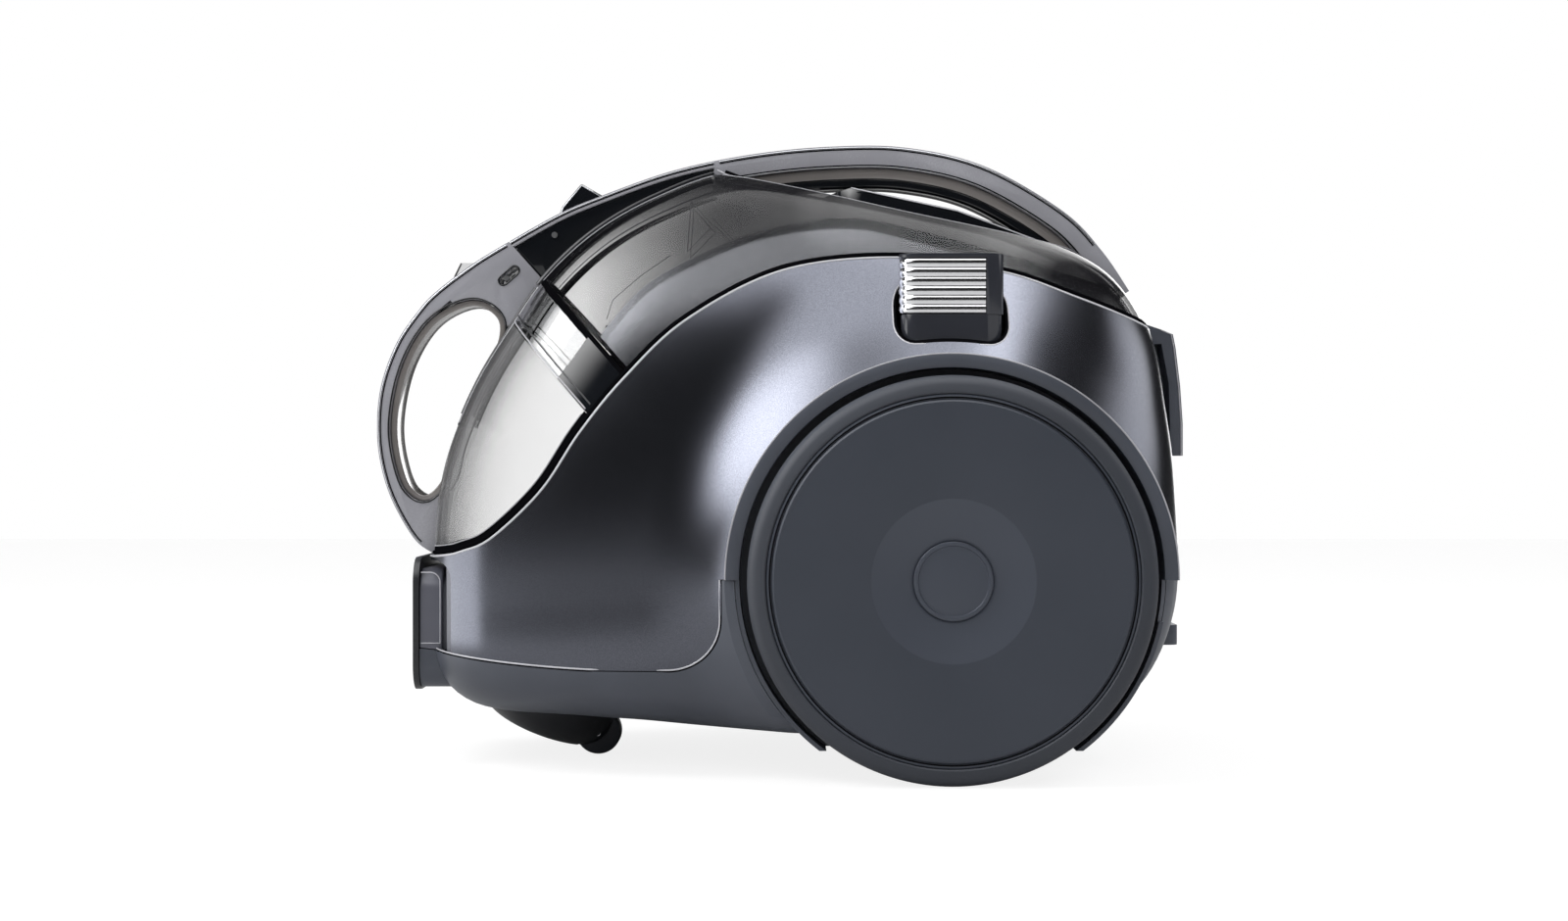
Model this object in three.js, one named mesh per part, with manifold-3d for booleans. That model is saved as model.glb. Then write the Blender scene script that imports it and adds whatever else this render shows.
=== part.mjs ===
// Canister vacuum cleaner, in millimetres. Front is -X, the left side is -Y, +Z is up.
// The origin lies on the floor, in the plane of symmetry, half way along the length.
import * as THREE from 'three';
import { mergeVertices } from 'three/addons/utils/BufferGeometryUtils.js';
import Module from 'manifold-3d';

const wasm = await Module();
wasm.setup();

// ---------------------------------------------------------------- driving dimensions
const seat = 0.3;                 // clearance between two pieces that touch
const slip = 0.5;                 // visible parting gap between two mouldings

// Wheels
const wheelRadius = 96.3;
const wheelWidth = 33.5;
const tyreThickness = 9;
const wheelFaceY = 141.5;         // outer face of a wheel, half of the overall width
const axleX = 81;
const axleZ = wheelRadius;
const axleRadius = 5;
const hubRadius = 13;
const hubCapRadius = 18.6;
const wheelDishRadius = 38.5;
const rimThickness = 3;

// Body form
const bodyHalfWidth = 113;
const bodyFullness = 2.6;         // superellipse exponent of the cross-section
const bodyOutline = [
  [193.8, 140], [191, 178], [184.8, 220], [166, 250], [124, 272], [70, 287.5], [20, 299.5], [-27, 303.6],
  [-66, 290], [-97, 271.6], [-122, 247.8], [-141, 220], [-155, 197], [-166, 173], [-174, 148],
  [-178, 120], [-178, 80], [-174, 47], [-158, 31], [-100, 24], [0, 20], [90, 18], [142, 23],
  [174, 42], [192, 78],
];

// Wheel arches
const archClearance = 3.7;        // between the tyre and the well
const archWall = 2;
const archLipWidth = 7;
const archLipThickness = 2;
const archLipY = 127;             // the arch's edge, where the body flares out to
const archFlareSlope = 0.9;
const archBlend = 7;
const wellFloorY = 101.5;         // inner face of the wheel well
const archFootZ = 15.5;             // lowest point of a well's wall

// Shell walls
const housingWall = 2.6;
const chassisWall = 3;
const coverInset = 1.8;           // the clear mouldings sit this far inside the housing's surface
const coverWall = 2.4;

// Parting curve between the housing and the clear mouldings, seen from the side
const shoulderCurve = [
  [-230, 99], [-171.6, 105.4], [-155.8, 108.6], [-140.2, 115.6], [-115.7, 138.5], [-96.8, 166.7],
  [-75.6, 192.6], [-45.2, 221.1], [2, 245.3], [59.5, 252.1], [109.6, 244.9], [145.6, 232.5],
  [180.2, 219.9], [235, 200],
];
// Sill between the housing and the chassis: low at the front, at axle height from the arch back
const sillFrontZ = 59;
const sillMiddleZ = 51.5;
const sillStepX = -27.5;
const sillRadius = 26;
const sillBendX = -91.8;          // here the sill has come down to its middle height
const sillFrontPull = [-150, sillFrontZ - 4];
const sillMiddlePull = [-120, sillMiddleZ + 1];

// Seam between the dust bin and the cover: a flat plane, square to the side view
const seamTop = [-139.5, 265.5];
const seamDirection = [0.664, -0.748];
const collarDepth = 25.5;

// Flat on the cover's crest, which falls towards the rear
const flatStart = [-21, 295.6];
const flatSlope = -0.2165;

// Opaque shroud under the clear cover: it stands on the filter deck, and its rim follows this curve
const shroudGap = 1.2;
const shroudWall = 2.2;
const shroudRim = [
  [-86, 216], [-66, 238], [-40, 253], [-9, 265], [31, 272], [62, 268], [130, 249], [190, 232],
];

// Hidden tub of the dust bin, below the shoulder curve
const tubHalfWidth = 70;
const tubProfile = [[-161, 112], [-118, 96], [-84, 184], [-104, 206], [-150, 150]];
const binPortZ = 136;

// Handles
const handleHalfWidth = 17;
const gripHalfWidth = 13;
const spineThickness = 3.6;
const carryBandThickness = 11.2;
const carryGripThickness = 9.4;
const binBandThickness = 8;
const binGripThickness = 3.2;
const handleCrest = [
  [-139.5, 265.5], [-116.7, 278.4], [-96.5, 287.3], [-56.1, 301.7], [-15.7, 310.2], [24.7, 314.3],
  [65.2, 313.8], [105.6, 304.2], [146, 281], [166.2, 260.2], [179.9, 240],
];
const carryStartX = -34;
// The finger loop's opening, closed on itself
const loopOutline = [
  [-198, 173], [-196, 152.6], [-190.5, 138.5], [-183.5, 134.6], [-175.5, 141.5], [-169.3, 162.7],
  [-157.1, 193.1], [-146, 213.4], [-145.8, 225.5], [-157, 232.5], [-176.4, 225], [-190.9, 204.3],
];
const binHandleCrest = [
  [-178.4, 104.6], [-188.5, 112.2], [-200.1, 132.4], [-206.2, 152.6], [-207.7, 172.8],
  [-205.2, 193], [-197.6, 213.2], [-187.5, 228.4], [-177.4, 239.5], [-157.2, 254.7], [-139.5, 265.5],
];

// Bin latch: a thumb tab on the loop, a link inside the root panel, and a pin that shows in a slot
const sliderDirection = [0.75, 0.66];
const sliderTravel = 4;
const sliderPin = [-141.2, 246.6];
const sliderPinRadius = 1.4;
const sliderHalfWidth = 4.5;
const sliderSlotRadius = 2;
const sliderSlotSpare = 1.8;      // the slot runs on past the pin's centre at both ends
const sliderOutline = [
  [-138, 249.8], [-150, 252.5], [-158.5, 255.4], [-166.2, 255.4], [-171.5, 244.6], [-160, 245.5],
  [-144, 243.2],
];
const sliderChannel = [
  [-172.6, 243.8], [-160, 244.8], [-144.2, 242.4], [-133.8, 251.6], [-134.4, 253.8], [-146, 256.4],
  [-149, 268], [-185, 268],
];

// Recess under the carry handle
const recessStartX = 22;
const recessEndX = 138;
const recessHalfWidth = 38;
const recessWall = 2.2;
const recessRise = 8;           // the rim stands this far above the cover's flat
const recessDepth = 21.5;
const recessCutBottomZ = 200;     // the cutting forms of the recess start here and end above the crest
const recessCutTopZ = 330;

// Bin release
const leverPivot = [-116.2, 268.9];
const leverHalfWidth = 7.5;
const leverPinRadius = 1.6;

// Pedals
const pedalStartX = 57;
const pedalEndX = 106.8;
const pedalFaceEndX = 97.7;
const pedalInnerY = 94;
const pedalOuterY = 119;
const pedalCornerRadius = 9;
const pedalHeight = 45.4;
const pedalFaceRise = 16.4;       // foot of the bright face above the pedal's bottom
const pedalFloorGap = 0.8;        // left under the pedal when it is pressed
const pedalFaceThickness = 1.8;
const pedalRidges = 6;
const pedalTravel = 5;
const pedalSideGap = 1.2;
const pedalWellWall = 1.4;
const springRadius = 5.5;
const springWire = 0.7;
const springTurns = 5;

// Hose inlet
const noseX = -184;               // front of the nose plate
const nosePlateThickness = 3;
const noseHalfWidth = 52;
const noseBottomZ = 37;
const noseTopZ = 103.8;
const noseCornerRadius = 13;
const noseInset = 1.2;            // the nose block's sides lie this far behind its plate's edge
const noseLowerEndX = -150;       // the nose's lower half runs back into the chassis this far
const bezelTopZ = 99.5;
const bezelEndX = -169.4;         // the bezel's block ends here, and its narrower neck runs on
const bezelNeckInset = 4;
const bezelWall = 2.4;
const bezelFlange = 2.6;
const noseRecessX = -162.3;       // the housing is cut away in front of here, round the bezel
const noseRecessTopZ = 102.6;
const noseRecessRadius = 9;
const inletZ = 69;
const hoseRadius = 17.5;          // bore that takes the hose end
const socketWall = 3;
const socketLength = 36;
const socketFlangeRadius = 26;
const ductRadius = 15;
const ductWall = 2;

// Caster
const casterX = -118.5;
const casterRadius = 34.5;
const casterTopZ = 29;
const casterBottomZ = 4.2;
const casterTrail = 24;
const casterLean = 16;            // the fairing's lowest point lies this far towards the wheel
const casterWheelRadius = 11.8;
const casterWheelHalfWidth = 7;
const casterAxleRadius = 1.8;
const casterStemRadius = 6;
const casterStemTopZ = 52;
const casterBossTopZ = 46;

// Suction unit
const motorX = 30;
const motorZ = 122;
const motorRadius = 54;
const motorLength = 96;
const motorWall = 2.5;
const impellerRadius = 44;
const impellerDepth = 15;
const impellerBlades = 9;
const rotorShaftRadius = 4;
const coreRadius = 36;
const mountThickness = 5;
const mountWidth = 12;
const saddleHalfWidth = 46;

// Cord rewind
const reelX = 134;
const reelZ = 112;
const reelRadius = 42;
const reelHubRadius = 18;
const reelHalfWidth = 26;
const reelFlange = 2;
const reelShaftRadius = 5;

// Control board, on edge at the right side
const boardFrontX = -60;
const boardRearX = 20;
const boardY = 68;
const boardThickness = 1.6;
const boardBottomZ = 30;
const boardTopZ = 92;

// Tail
const parkTopZ = 222.6;
const parkBottomZ = 155;
const parkHalfWidth = 30;
const parkBackX = 205.4;
const parkSlotHalfWidth = 10;
const parkDeepX = 190;
const parkSlotTopZ = 212;
const parkRib = 3;
const grilleFrontX = 172;         // its opening in the housing is cut from here to the back
const grilleHalfWidth = 42;
const grilleBottomZ = 112;
const grilleTopZ = 152;
const grilleSlots = 6;
const grilleDepth = 7.5;          // its louvres lie this deep in a tray
const grilleWall = 2;
const footBottomZ = 60;
const footTopZ = 70;
const footBackX = 200;
const footHalfWidth = 50;

// Values that follow from those above
const wellRadius = wheelRadius + archClearance;
const wellOuterRadius = wellRadius + archWall;
const lipOuterRadius = wellRadius + archLipWidth;
const wheelInnerY = wheelFaceY - wheelWidth;
const far = 400;                  // larger than the object, for cutting regions
// The pedals' wells stand on the wheel wells
const pedalWellBottomZ = axleZ + wellOuterRadius + 0.1;
const pedalWellFloorZ = pedalWellBottomZ + pedalWellWall;
const pedalBottomZ = pedalWellFloorZ + pedalTravel + pedalFloorGap;
const pedalFaceBottomZ = pedalBottomZ + pedalFaceRise;
const pedalTopZ = pedalBottomZ + pedalHeight;

// ---------------------------------------------------------------- solid helpers
function solid(geometry) {
  const bare = geometry.index ? geometry.toNonIndexed() : geometry.clone();
  bare.deleteAttribute('normal');
  bare.deleteAttribute('uv');
  const merged = mergeVertices(bare, 1e-4);
  const vertProperties = new Float32Array(merged.attributes.position.array);
  const triVerts = new Uint32Array(merged.index.array);
  return new wasm.Manifold(new wasm.Mesh({ numProp: 3, vertProperties, triVerts }));
}

function toGeometry(body) {
  const mesh = body.getMesh();
  const geometry = new THREE.BufferGeometry();
  geometry.setAttribute('position', new THREE.BufferAttribute(new Float32Array(mesh.vertProperties), 3));
  geometry.setIndex(new THREE.BufferAttribute(new Uint32Array(mesh.triVerts), 1));
  return geometry;
}

const join = (first, ...rest) => rest.reduce((sum, body) => sum.add(body), first);
const cut = (first, ...rest) => rest.reduce((left, body) => left.subtract(body), first);
const common = (first, ...rest) => rest.reduce((left, body) => left.intersect(body), first);

// The same solid on the other side of the plane of symmetry
function mirrored(body) {
  const geometry = toGeometry(body);
  geometry.scale(1, -1, 1);
  const index = geometry.index.array;
  for (let i = 0; i < index.length; i += 3) {
    const swap = index[i];
    index[i] = index[i + 1];
    index[i + 1] = swap;
  }
  return solid(geometry);
}

function block(x0, x1, y0, y1, z0, z1) {
  const geometry = new THREE.BoxGeometry(x1 - x0, y1 - y0, z1 - z0);
  return solid(geometry.translate((x0 + x1) / 2, (y0 + y1) / 2, (z0 + z1) / 2));
}

const toShape = (points) => new THREE.Shape(points.map(([u, v]) => new THREE.Vector2(u, v)));

// A side-view outline (x, z) given thickness from y0 to y1
function sideSlab(shape, y0, y1) {
  const depth = y1 - y0;
  const geometry = new THREE.ExtrudeGeometry(shape, { depth, bevelEnabled: false, curveSegments: 10 });
  return solid(geometry.rotateX(Math.PI / 2).translate(0, y1, 0));
}

// A plan outline (x, y) given height from z0 to z1
function planSlab(shape, z0, z1, bevel = 0, curveSegments = 3) {
  const geometry = new THREE.ExtrudeGeometry(shape, {
    depth: z1 - z0 - 2 * bevel,
    bevelEnabled: bevel > 0,
    bevelThickness: bevel,
    bevelSize: bevel,
    bevelOffset: -bevel,
    bevelSegments: 1,
    curveSegments,
  });
  return solid(geometry.translate(0, 0, z0 + bevel));
}

// A front-view outline (y, z) given length from x0 to x1
function frontSlab(shape, x0, x1) {
  const depth = x1 - x0;
  const geometry = new THREE.ExtrudeGeometry(shape, { depth, bevelEnabled: false, curveSegments: 4 });
  return solid(geometry.rotateX(Math.PI / 2).rotateZ(Math.PI / 2).translate(x0, 0, 0));
}

const toProfile = (points) => points.map(([r, h]) => new THREE.Vector2(r, h));

// Turned solids: a profile of (radius, height along the axis), turned round Y, Z or X
function turnedY(profile, x, z, segments) {
  return solid(new THREE.LatheGeometry(toProfile(profile), segments).translate(x, 0, z));
}
function turnedZ(profile, x, y, segments) {
  const geometry = new THREE.LatheGeometry(toProfile(profile), segments);
  return solid(geometry.rotateX(Math.PI / 2).translate(x, y, 0));
}
function turnedX(profile, y, z, segments) {
  const geometry = new THREE.LatheGeometry(toProfile(profile), segments);
  return solid(geometry.rotateZ(-Math.PI / 2).translate(0, y, z));
}
const rod = (radius, low, high) => [[0, low], [radius, low], [radius, high], [0, high]];
const ring = (inner, outer, low, high) => [
  [inner, low], [outer, low], [outer, high], [inner, high], [inner, low],
];

// A smooth side-view curve through a few points, as a polyline
function smooth(points, count) {
  const curve = new THREE.SplineCurve(points.map(([x, z]) => new THREE.Vector2(x, z)));
  return curve.getSpacedPoints(count).map((point) => [point.x, point.y]);
}

// The polyline moved sideways: to the left of its direction of travel when distance is positive
function offset(line, distance) {
  return line.map((point, i) => {
    const before = line[Math.max(0, i - 1)];
    const after = line[Math.min(line.length - 1, i + 1)];
    const length = Math.hypot(after[0] - before[0], after[1] - before[1]);
    const normal = [-(after[1] - before[1]) / length, (after[0] - before[0]) / length];
    return [point[0] + distance * normal[0], point[1] + distance * normal[1]];
  });
}

function roundedRectangle(u0, u1, v0, v1, radius) {
  const shape = new THREE.Shape();
  shape.moveTo(u0 + radius, v0);
  shape.lineTo(u1 - radius, v0);
  shape.absarc(u1 - radius, v0 + radius, radius, -Math.PI / 2, 0, false);
  shape.lineTo(u1, v1 - radius);
  shape.absarc(u1 - radius, v1 - radius, radius, 0, Math.PI / 2, false);
  shape.lineTo(u0 + radius, v1);
  shape.absarc(u0 + radius, v1 - radius, radius, Math.PI / 2, Math.PI, false);
  shape.lineTo(u0, v0 + radius);
  shape.absarc(u0 + radius, v0 + radius, radius, Math.PI, 1.5 * Math.PI, false);
  return shape;
}

// ---------------------------------------------------------------- body form
const outlineCurve = new THREE.CatmullRomCurve3(
  bodyOutline.map(([x, z]) => new THREE.Vector3(x, z, 0)), true, 'centripetal');
const outlineSteps = 44;
const outlineSpokes = outlineCurve.getSpacedPoints(outlineSteps).slice(0, outlineSteps).map((point) => {
  const reach = Math.hypot(point.x - axleX, point.y - axleZ);
  return { cos: (point.x - axleX) / reach, sin: (point.y - axleZ) / reach, reach };
});

// Half width of the body at a distance from the wheel axis along one spoke of the outline
function halfWidth(spoke, distance) {
  const share = Math.min(1, distance / spoke.reach);
  const tailFullness = spoke.cos > 0 ? 1.5 * spoke.cos ** 2 : 0.9 * spoke.cos ** 2;
  const floorFullness = spoke.sin < 0 ? 4 * spoke.sin ** 2 : 0;
  const power = bodyFullness + tailFullness + floorFullness;
  const plain = bodyHalfWidth * (1 - share ** power) ** (1 / power);
  const fall = archFlareSlope * Math.max(0, distance - lipOuterRadius);
  const flare = (archLipY - fall) * (1 - share ** 8) ** (1 / 8);
  const blend = Math.max(0, archBlend - Math.abs(plain - flare)) / archBlend;
  return Math.max(plain, flare) + blend * blend * archBlend / 4;
}

// The whole body as a closed form, its surface moved inwards by inset.
// Rings run from the wheel axis to the arch's edge, and on to the outline.
function bodyForm(inset, spokes, edgeRings) {
  const narrow = (bodyHalfWidth - inset) / bodyHalfWidth;
  const position = [];
  const index = [];
  const rings = [];
  const addRing = (side, distanceOf) => {
    rings.push(position.length / 3);
    spokes.forEach((spoke) => {
      const distance = distanceOf(spoke);
      const scale = (spoke.reach - inset) / spoke.reach;
      const y = side * narrow * halfWidth(spoke, distance);
      position.push(axleX + spoke.cos * distance * scale, y, axleZ + spoke.sin * distance * scale);
    });
  };
  const archDistance = (spoke) => Math.min(lipOuterRadius, 0.86 * spoke.reach);
  const outwards = [(spoke) => 0.5 * archDistance(spoke), archDistance];
  for (let k = 1; k < edgeRings; k += 1) {
    const share = Math.sin((Math.PI / 2) * (k / edgeRings));
    outwards.push((spoke) => archDistance(spoke) + share * (spoke.reach - archDistance(spoke)));
  }
  const middle = spokes[0];
  position.push(axleX, -narrow * halfWidth(middle, 0), axleZ);
  outwards.forEach((distanceOf) => addRing(-1, distanceOf));
  addRing(0, (spoke) => spoke.reach);
  outwards.slice().reverse().forEach((distanceOf) => addRing(1, distanceOf));
  position.push(axleX, narrow * halfWidth(middle, 0), axleZ);
  const last = position.length / 3 - 1;
  for (let i = 0; i < spokes.length; i += 1) {
    const next = (i + 1) % spokes.length;
    index.push(0, rings[0] + i, rings[0] + next);
    for (let k = 0; k + 1 < rings.length; k += 1) {
      const [a, b] = [rings[k] + i, rings[k] + next];
      const [c, d] = [rings[k + 1] + i, rings[k + 1] + next];
      index.push(a, c, d, a, d, b);
    }
    const end = rings[rings.length - 1];
    index.push(last, end + next, end + i);
  }
  const geometry = new THREE.BufferGeometry();
  geometry.setAttribute('position', new THREE.BufferAttribute(new Float32Array(position), 3));
  geometry.setIndex(index);
  return solid(geometry);
}

const formCache = new Map();
function form(inset) {
  if (!formCache.has(inset)) formCache.set(inset, bodyForm(inset, outlineSpokes, 5));
  return formCache.get(inset);
}
// A coarser form for the inside of opaque shells: its chords lie further in
const innerForm = (inset) => bodyForm(inset, outlineSpokes.filter((spoke, i) => i % 2 === 0), 5);

// ---------------------------------------------------------------- cutting regions
const shoulderLine = smooth(shoulderCurve, 28);

const aboveShoulder = (lift) => sideSlab(
  toShape([...offset(shoulderLine, lift), [far, far], [-far, far]]), -far, far);
const belowShoulder = (drop) => sideSlab(
  toShape([...offset(shoulderLine, -drop), [far, -far], [-far, -far]]), -far, far);

function sillShape(shift) {
  const shape = new THREE.Shape();
  const z = shift;
  shape.moveTo(-far, sillFrontZ + z);
  shape.lineTo(noseX, sillFrontZ + z);
  shape.bezierCurveTo(
    sillFrontPull[0], sillFrontPull[1] + z, sillMiddlePull[0], sillMiddlePull[1] + z,
    sillBendX, sillMiddleZ + z);
  shape.absarc(
    sillStepX - sillRadius - shift, sillMiddleZ + sillRadius + z, sillRadius, -Math.PI / 2, 0, false);
  shape.lineTo(sillStepX - shift, axleZ + z);
  shape.lineTo(far, axleZ + z);
  return shape;
}
function aboveSill(lift) {
  const shape = sillShape(lift);
  shape.lineTo(far, far);
  shape.lineTo(-far, far);
  return sideSlab(shape, -far, far);
}
function belowSill(drop) {
  const shape = sillShape(-drop);
  shape.lineTo(far, -far);
  shape.lineTo(-far, -far);
  return sideSlab(shape, -far, far);
}

// Regions in front of and behind the seam's plane, moved forwards by shift
const seamNormal = [seamDirection[1], -seamDirection[0]];
const seamPoint = (along, forward) => [
  seamTop[0] + along * seamDirection[0] + forward * seamNormal[0],
  seamTop[1] + along * seamDirection[1] + forward * seamNormal[1],
];
const frontOfSeam = (shift) => sideSlab(toShape([
  seamPoint(-far, shift), seamPoint(-far, shift + far), seamPoint(far, shift + far), seamPoint(far, shift),
]), -far, far);
const behindSeam = (shift) => sideSlab(toShape([
  seamPoint(-far, shift), seamPoint(far, shift), seamPoint(far, shift - far), seamPoint(-far, shift - far),
]), -far, far);

const flatZ = (x) => flatStart[1] + flatSlope * (x - flatStart[0]);
const belowFlat = (drop) => sideSlab(toShape([
  [-far, flatZ(-far) - drop], [-far, -far], [far, -far], [far, flatZ(far) - drop],
]), -far, far);
const coverForm = (inset) => common(form(inset), belowFlat(inset - coverInset));

// Clearance round one wheel well, with room for its liner
const wellSpace = (margin) => turnedY(
  rod(wellOuterRadius + margin, wellFloorY - margin, far), axleX, axleZ, 32);
const wellSpaces = join(wellSpace(seat), mirrored(wellSpace(seat)));

// ---------------------------------------------------------------- pedals and their wells
const pedalPlan = (margin) => roundedRectangle(
  pedalStartX - margin, pedalEndX + margin, pedalInnerY - margin, pedalOuterY + margin,
  pedalCornerRadius + margin);
const pedalX = (pedalStartX + pedalEndX) / 2;
const pedalY = (pedalInnerY + pedalOuterY) / 2;
const pedalWellMargin = pedalSideGap + pedalWellWall;
const pedalPocket = planSlab(
  pedalPlan(pedalWellMargin + seat), pedalWellBottomZ - seat, pedalTopZ + 20, 0, 2);
const springBore = springRadius + springWire + 0.8;
const springTopZ = pedalTopZ - 14;

function pedalWell() {
  const outer = planSlab(pedalPlan(pedalWellMargin), pedalWellBottomZ, pedalTopZ, 0, 2);
  const inner = planSlab(pedalPlan(pedalSideGap), pedalWellFloorZ, pedalTopZ + 1, 0, 2);
  return common(cut(outer, inner), form(0.1), belowShoulder(seat));
}

function pedalBody() {
  const lower = planSlab(pedalPlan(-0.8), pedalBottomZ, pedalFaceBottomZ);
  const upper = planSlab(pedalPlan(-pedalFaceThickness - seat), pedalFaceBottomZ, pedalTopZ - 2);
  const tail = common(
    planSlab(pedalPlan(0), pedalFaceBottomZ, pedalTopZ - 2),
    block(pedalFaceEndX + seat, far, 0, far, 0, far));
  const crown = planSlab(pedalPlan(0), pedalTopZ - 2, pedalTopZ, 0.8);
  const bore = turnedZ(rod(springBore, 0, springTopZ), pedalX, pedalY, 10);
  return cut(join(lower, upper, tail, crown), bore);
}

// The bright face wraps the outer side and the front end, with rounded ridges across it
function pedalFace() {
  const pitch = (pedalTopZ - 2 - seat - pedalFaceBottomZ - seat) / pedalRidges;
  let ribs = null;
  for (let i = 0; i < pedalRidges; i += 1) {
    const low = pedalFaceBottomZ + seat + i * pitch;
    const rib = planSlab(pedalPlan(0), low, low + pitch, 0.7, 2);
    ribs = ribs ? ribs.add(rib) : rib;
  }
  const core = planSlab(pedalPlan(-0.7), pedalFaceBottomZ + seat, pedalTopZ - 2 - seat);
  const hollow = planSlab(pedalPlan(-pedalFaceThickness), pedalFaceBottomZ - 1, pedalTopZ + 1);
  const kept = block(-far, pedalFaceEndX, pedalInnerY + pedalCornerRadius, far, 0, far);
  return common(cut(join(ribs, core), hollow), kept);
}

function pedalSpring() {
  class Helix extends THREE.Curve {
    getPoint(t, target = new THREE.Vector3()) {
      const angle = t * springTurns * 2 * Math.PI;
      const low = pedalWellFloorZ + springWire + seat;
      const high = springTopZ - springWire - seat;
      return target.set(
        pedalX + springRadius * Math.cos(angle), pedalY + springRadius * Math.sin(angle),
        low + t * (high - low));
    }
  }
  const section = new THREE.Shape();
  section.absarc(0, 0, springWire, 0, 2 * Math.PI, false);
  return solid(new THREE.ExtrudeGeometry(section, {
    steps: springTurns * 7, curveSegments: 2, bevelEnabled: false, extrudePath: new Helix(),
  }));
}

// ---------------------------------------------------------------- nose and hose inlet
const nosePlan = (margin, bottom, top) => roundedRectangle(
  -noseHalfWidth + margin, noseHalfWidth - margin, bottom + margin, top - margin, noseCornerRadius - margin);
const socketOuterRadius = hoseRadius + socketWall;
const socketBackX = noseX + socketLength;
const socketHole = turnedX(rod(socketOuterRadius + seat, noseX - 10, socketBackX + 20), 0, inletZ, 20);
const noseBackX = noseX + nosePlateThickness;
const noseBlock = (margin, endX) => frontSlab(
  nosePlan(margin, noseBottomZ, bezelTopZ), noseBackX + seat, endX);
// The opening in the housing's front, square across it, with a rounded upper corner
const noseRecess = (margin) => sideSlab(roundedRectangle(
  -far, noseRecessX - margin, -far, noseRecessTopZ - margin, noseRecessRadius - margin), -far, far);

function nosePlate() {
  const plate = frontSlab(nosePlan(0, noseBottomZ, noseTopZ), noseX, noseBackX);
  return cut(plate, socketHole);
}

// A hollow block that stands out of a flange; the flange closes the opening in the housing
function frontBezel() {
  const neckInset = noseInset + bezelNeckInset;
  const flangeX = noseRecessX - seat - bezelFlange;
  const flange = common(noseRecess(seat), form(bezelFlange / 2), block(flangeX, far, -far, far, 0, far));
  const inside = frontSlab(
    nosePlan(neckInset + bezelWall, noseBottomZ, bezelTopZ), noseBackX + seat + bezelWall, noseRecessX);
  const whole = join(noseBlock(noseInset, bezelEndX), noseBlock(neckInset, flangeX + 1), flange);
  return cut(common(whole, aboveSill(slip / 2)), inside, socketHole);
}

function hoseSocket() {
  const profile = [
    [hoseRadius, noseX - 2], [socketFlangeRadius, noseX - 2], [socketFlangeRadius, noseX - seat],
    [socketOuterRadius, noseX - seat], [socketOuterRadius, socketBackX], [hoseRadius, socketBackX],
    [hoseRadius, noseX - 2],
  ];
  return turnedX(profile, 0, inletZ, 20);
}

function socketSeal() {
  return turnedX(
    ring(ductRadius, socketOuterRadius, socketBackX + seat, socketBackX + 4), 0, inletZ, 20);
}

const backWallX = (z) => tubProfile[1][0] + (tubProfile[2][0] - tubProfile[1][0])
  * (z - tubProfile[1][1]) / (tubProfile[2][1] - tubProfile[1][1]);
const cradleWall = 2.4;
const deckDrop = 1.5;             // top of the filter deck, below the shoulder curve

// The duct runs back below the cradle, turns up behind it and comes forwards to the bin's port
function inletDuct() {
  const startX = socketBackX + 4 + seat;
  const endX = backWallX(binPortZ) + 1.1 * cradleWall + 4.5 * seat;
  const path = new THREE.CatmullRomCurve3([
    new THREE.Vector3(startX, 0, inletZ), new THREE.Vector3(startX + 14, 0, inletZ),
    new THREE.Vector3(-98, 0, inletZ - 1), new THREE.Vector3(-66, 0, inletZ + 15),
    new THREE.Vector3(-57, 0, inletZ + 43), new THREE.Vector3(-68, 0, binPortZ - 11),
    new THREE.Vector3(endX + 9, 0, binPortZ - 3), new THREE.Vector3(endX, 0, binPortZ),
  ]);
  const section = new THREE.Shape();
  section.absarc(0, 0, ductRadius, 0, 2 * Math.PI, false);
  const bore = new THREE.Path();
  bore.absarc(0, 0, ductRadius - ductWall, 0, 2 * Math.PI, true);
  section.holes.push(bore);
  return solid(new THREE.ExtrudeGeometry(section, {
    steps: 10, curveSegments: 5, bevelEnabled: false, extrudePath: path,
  }));
}

// ---------------------------------------------------------------- dust bin
const slabOf = (points, halfWidth) => sideSlab(toShape(points), -halfWidth, halfWidth);

// The tub's side outline moved outwards by distance; its corners are mitred
function tubOutline(distance) {
  const count = tubProfile.length;
  return tubProfile.map((point, i) => {
    const before = tubProfile[(i + count - 1) % count];
    const after = tubProfile[(i + 1) % count];
    const unit = (a, b) => {
      const length = Math.hypot(b[0] - a[0], b[1] - a[1]);
      return [(b[0] - a[0]) / length, (b[1] - a[1]) / length];
    };
    const [p, q] = [unit(before, point), unit(point, after)];
    const bisector = [p[1] + q[1], -(p[0] + q[0])];
    const scale = distance / (1 + p[0] * q[0] + p[1] * q[1]);
    return [point[0] + bisector[0] * scale, point[1] + bisector[1] * scale];
  });
}

const portAxisAngle = Math.atan2(tubProfile[2][0] - tubProfile[1][0], tubProfile[2][1] - tubProfile[1][1]);
const binPort = (radius) => {
  const hole = new THREE.CylinderGeometry(radius, radius, 24, 24).rotateZ(Math.PI / 2);
  return solid(hole.rotateY(portAxisAngle).translate(backWallX(binPortZ), 0, binPortZ));
};

function dustBin() {
  const front = frontOfSeam(collarDepth);
  const skin = common(form(coverInset), aboveShoulder(slip), front);
  const tub = common(slabOf(tubOutline(0), tubHalfWidth), form(coverInset), front);
  const open = frontOfSeam(collarDepth - 3);
  const skinRoom = common(form(coverInset + coverWall), aboveShoulder(slip + coverWall), open);
  const tubRoom = common(
    slabOf(tubOutline(-coverWall), tubHalfWidth - coverWall), form(coverInset + coverWall), open);
  return cut(join(skin, tub), join(skinRoom, tubRoom), binPort(ductRadius - ductWall));
}

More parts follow.
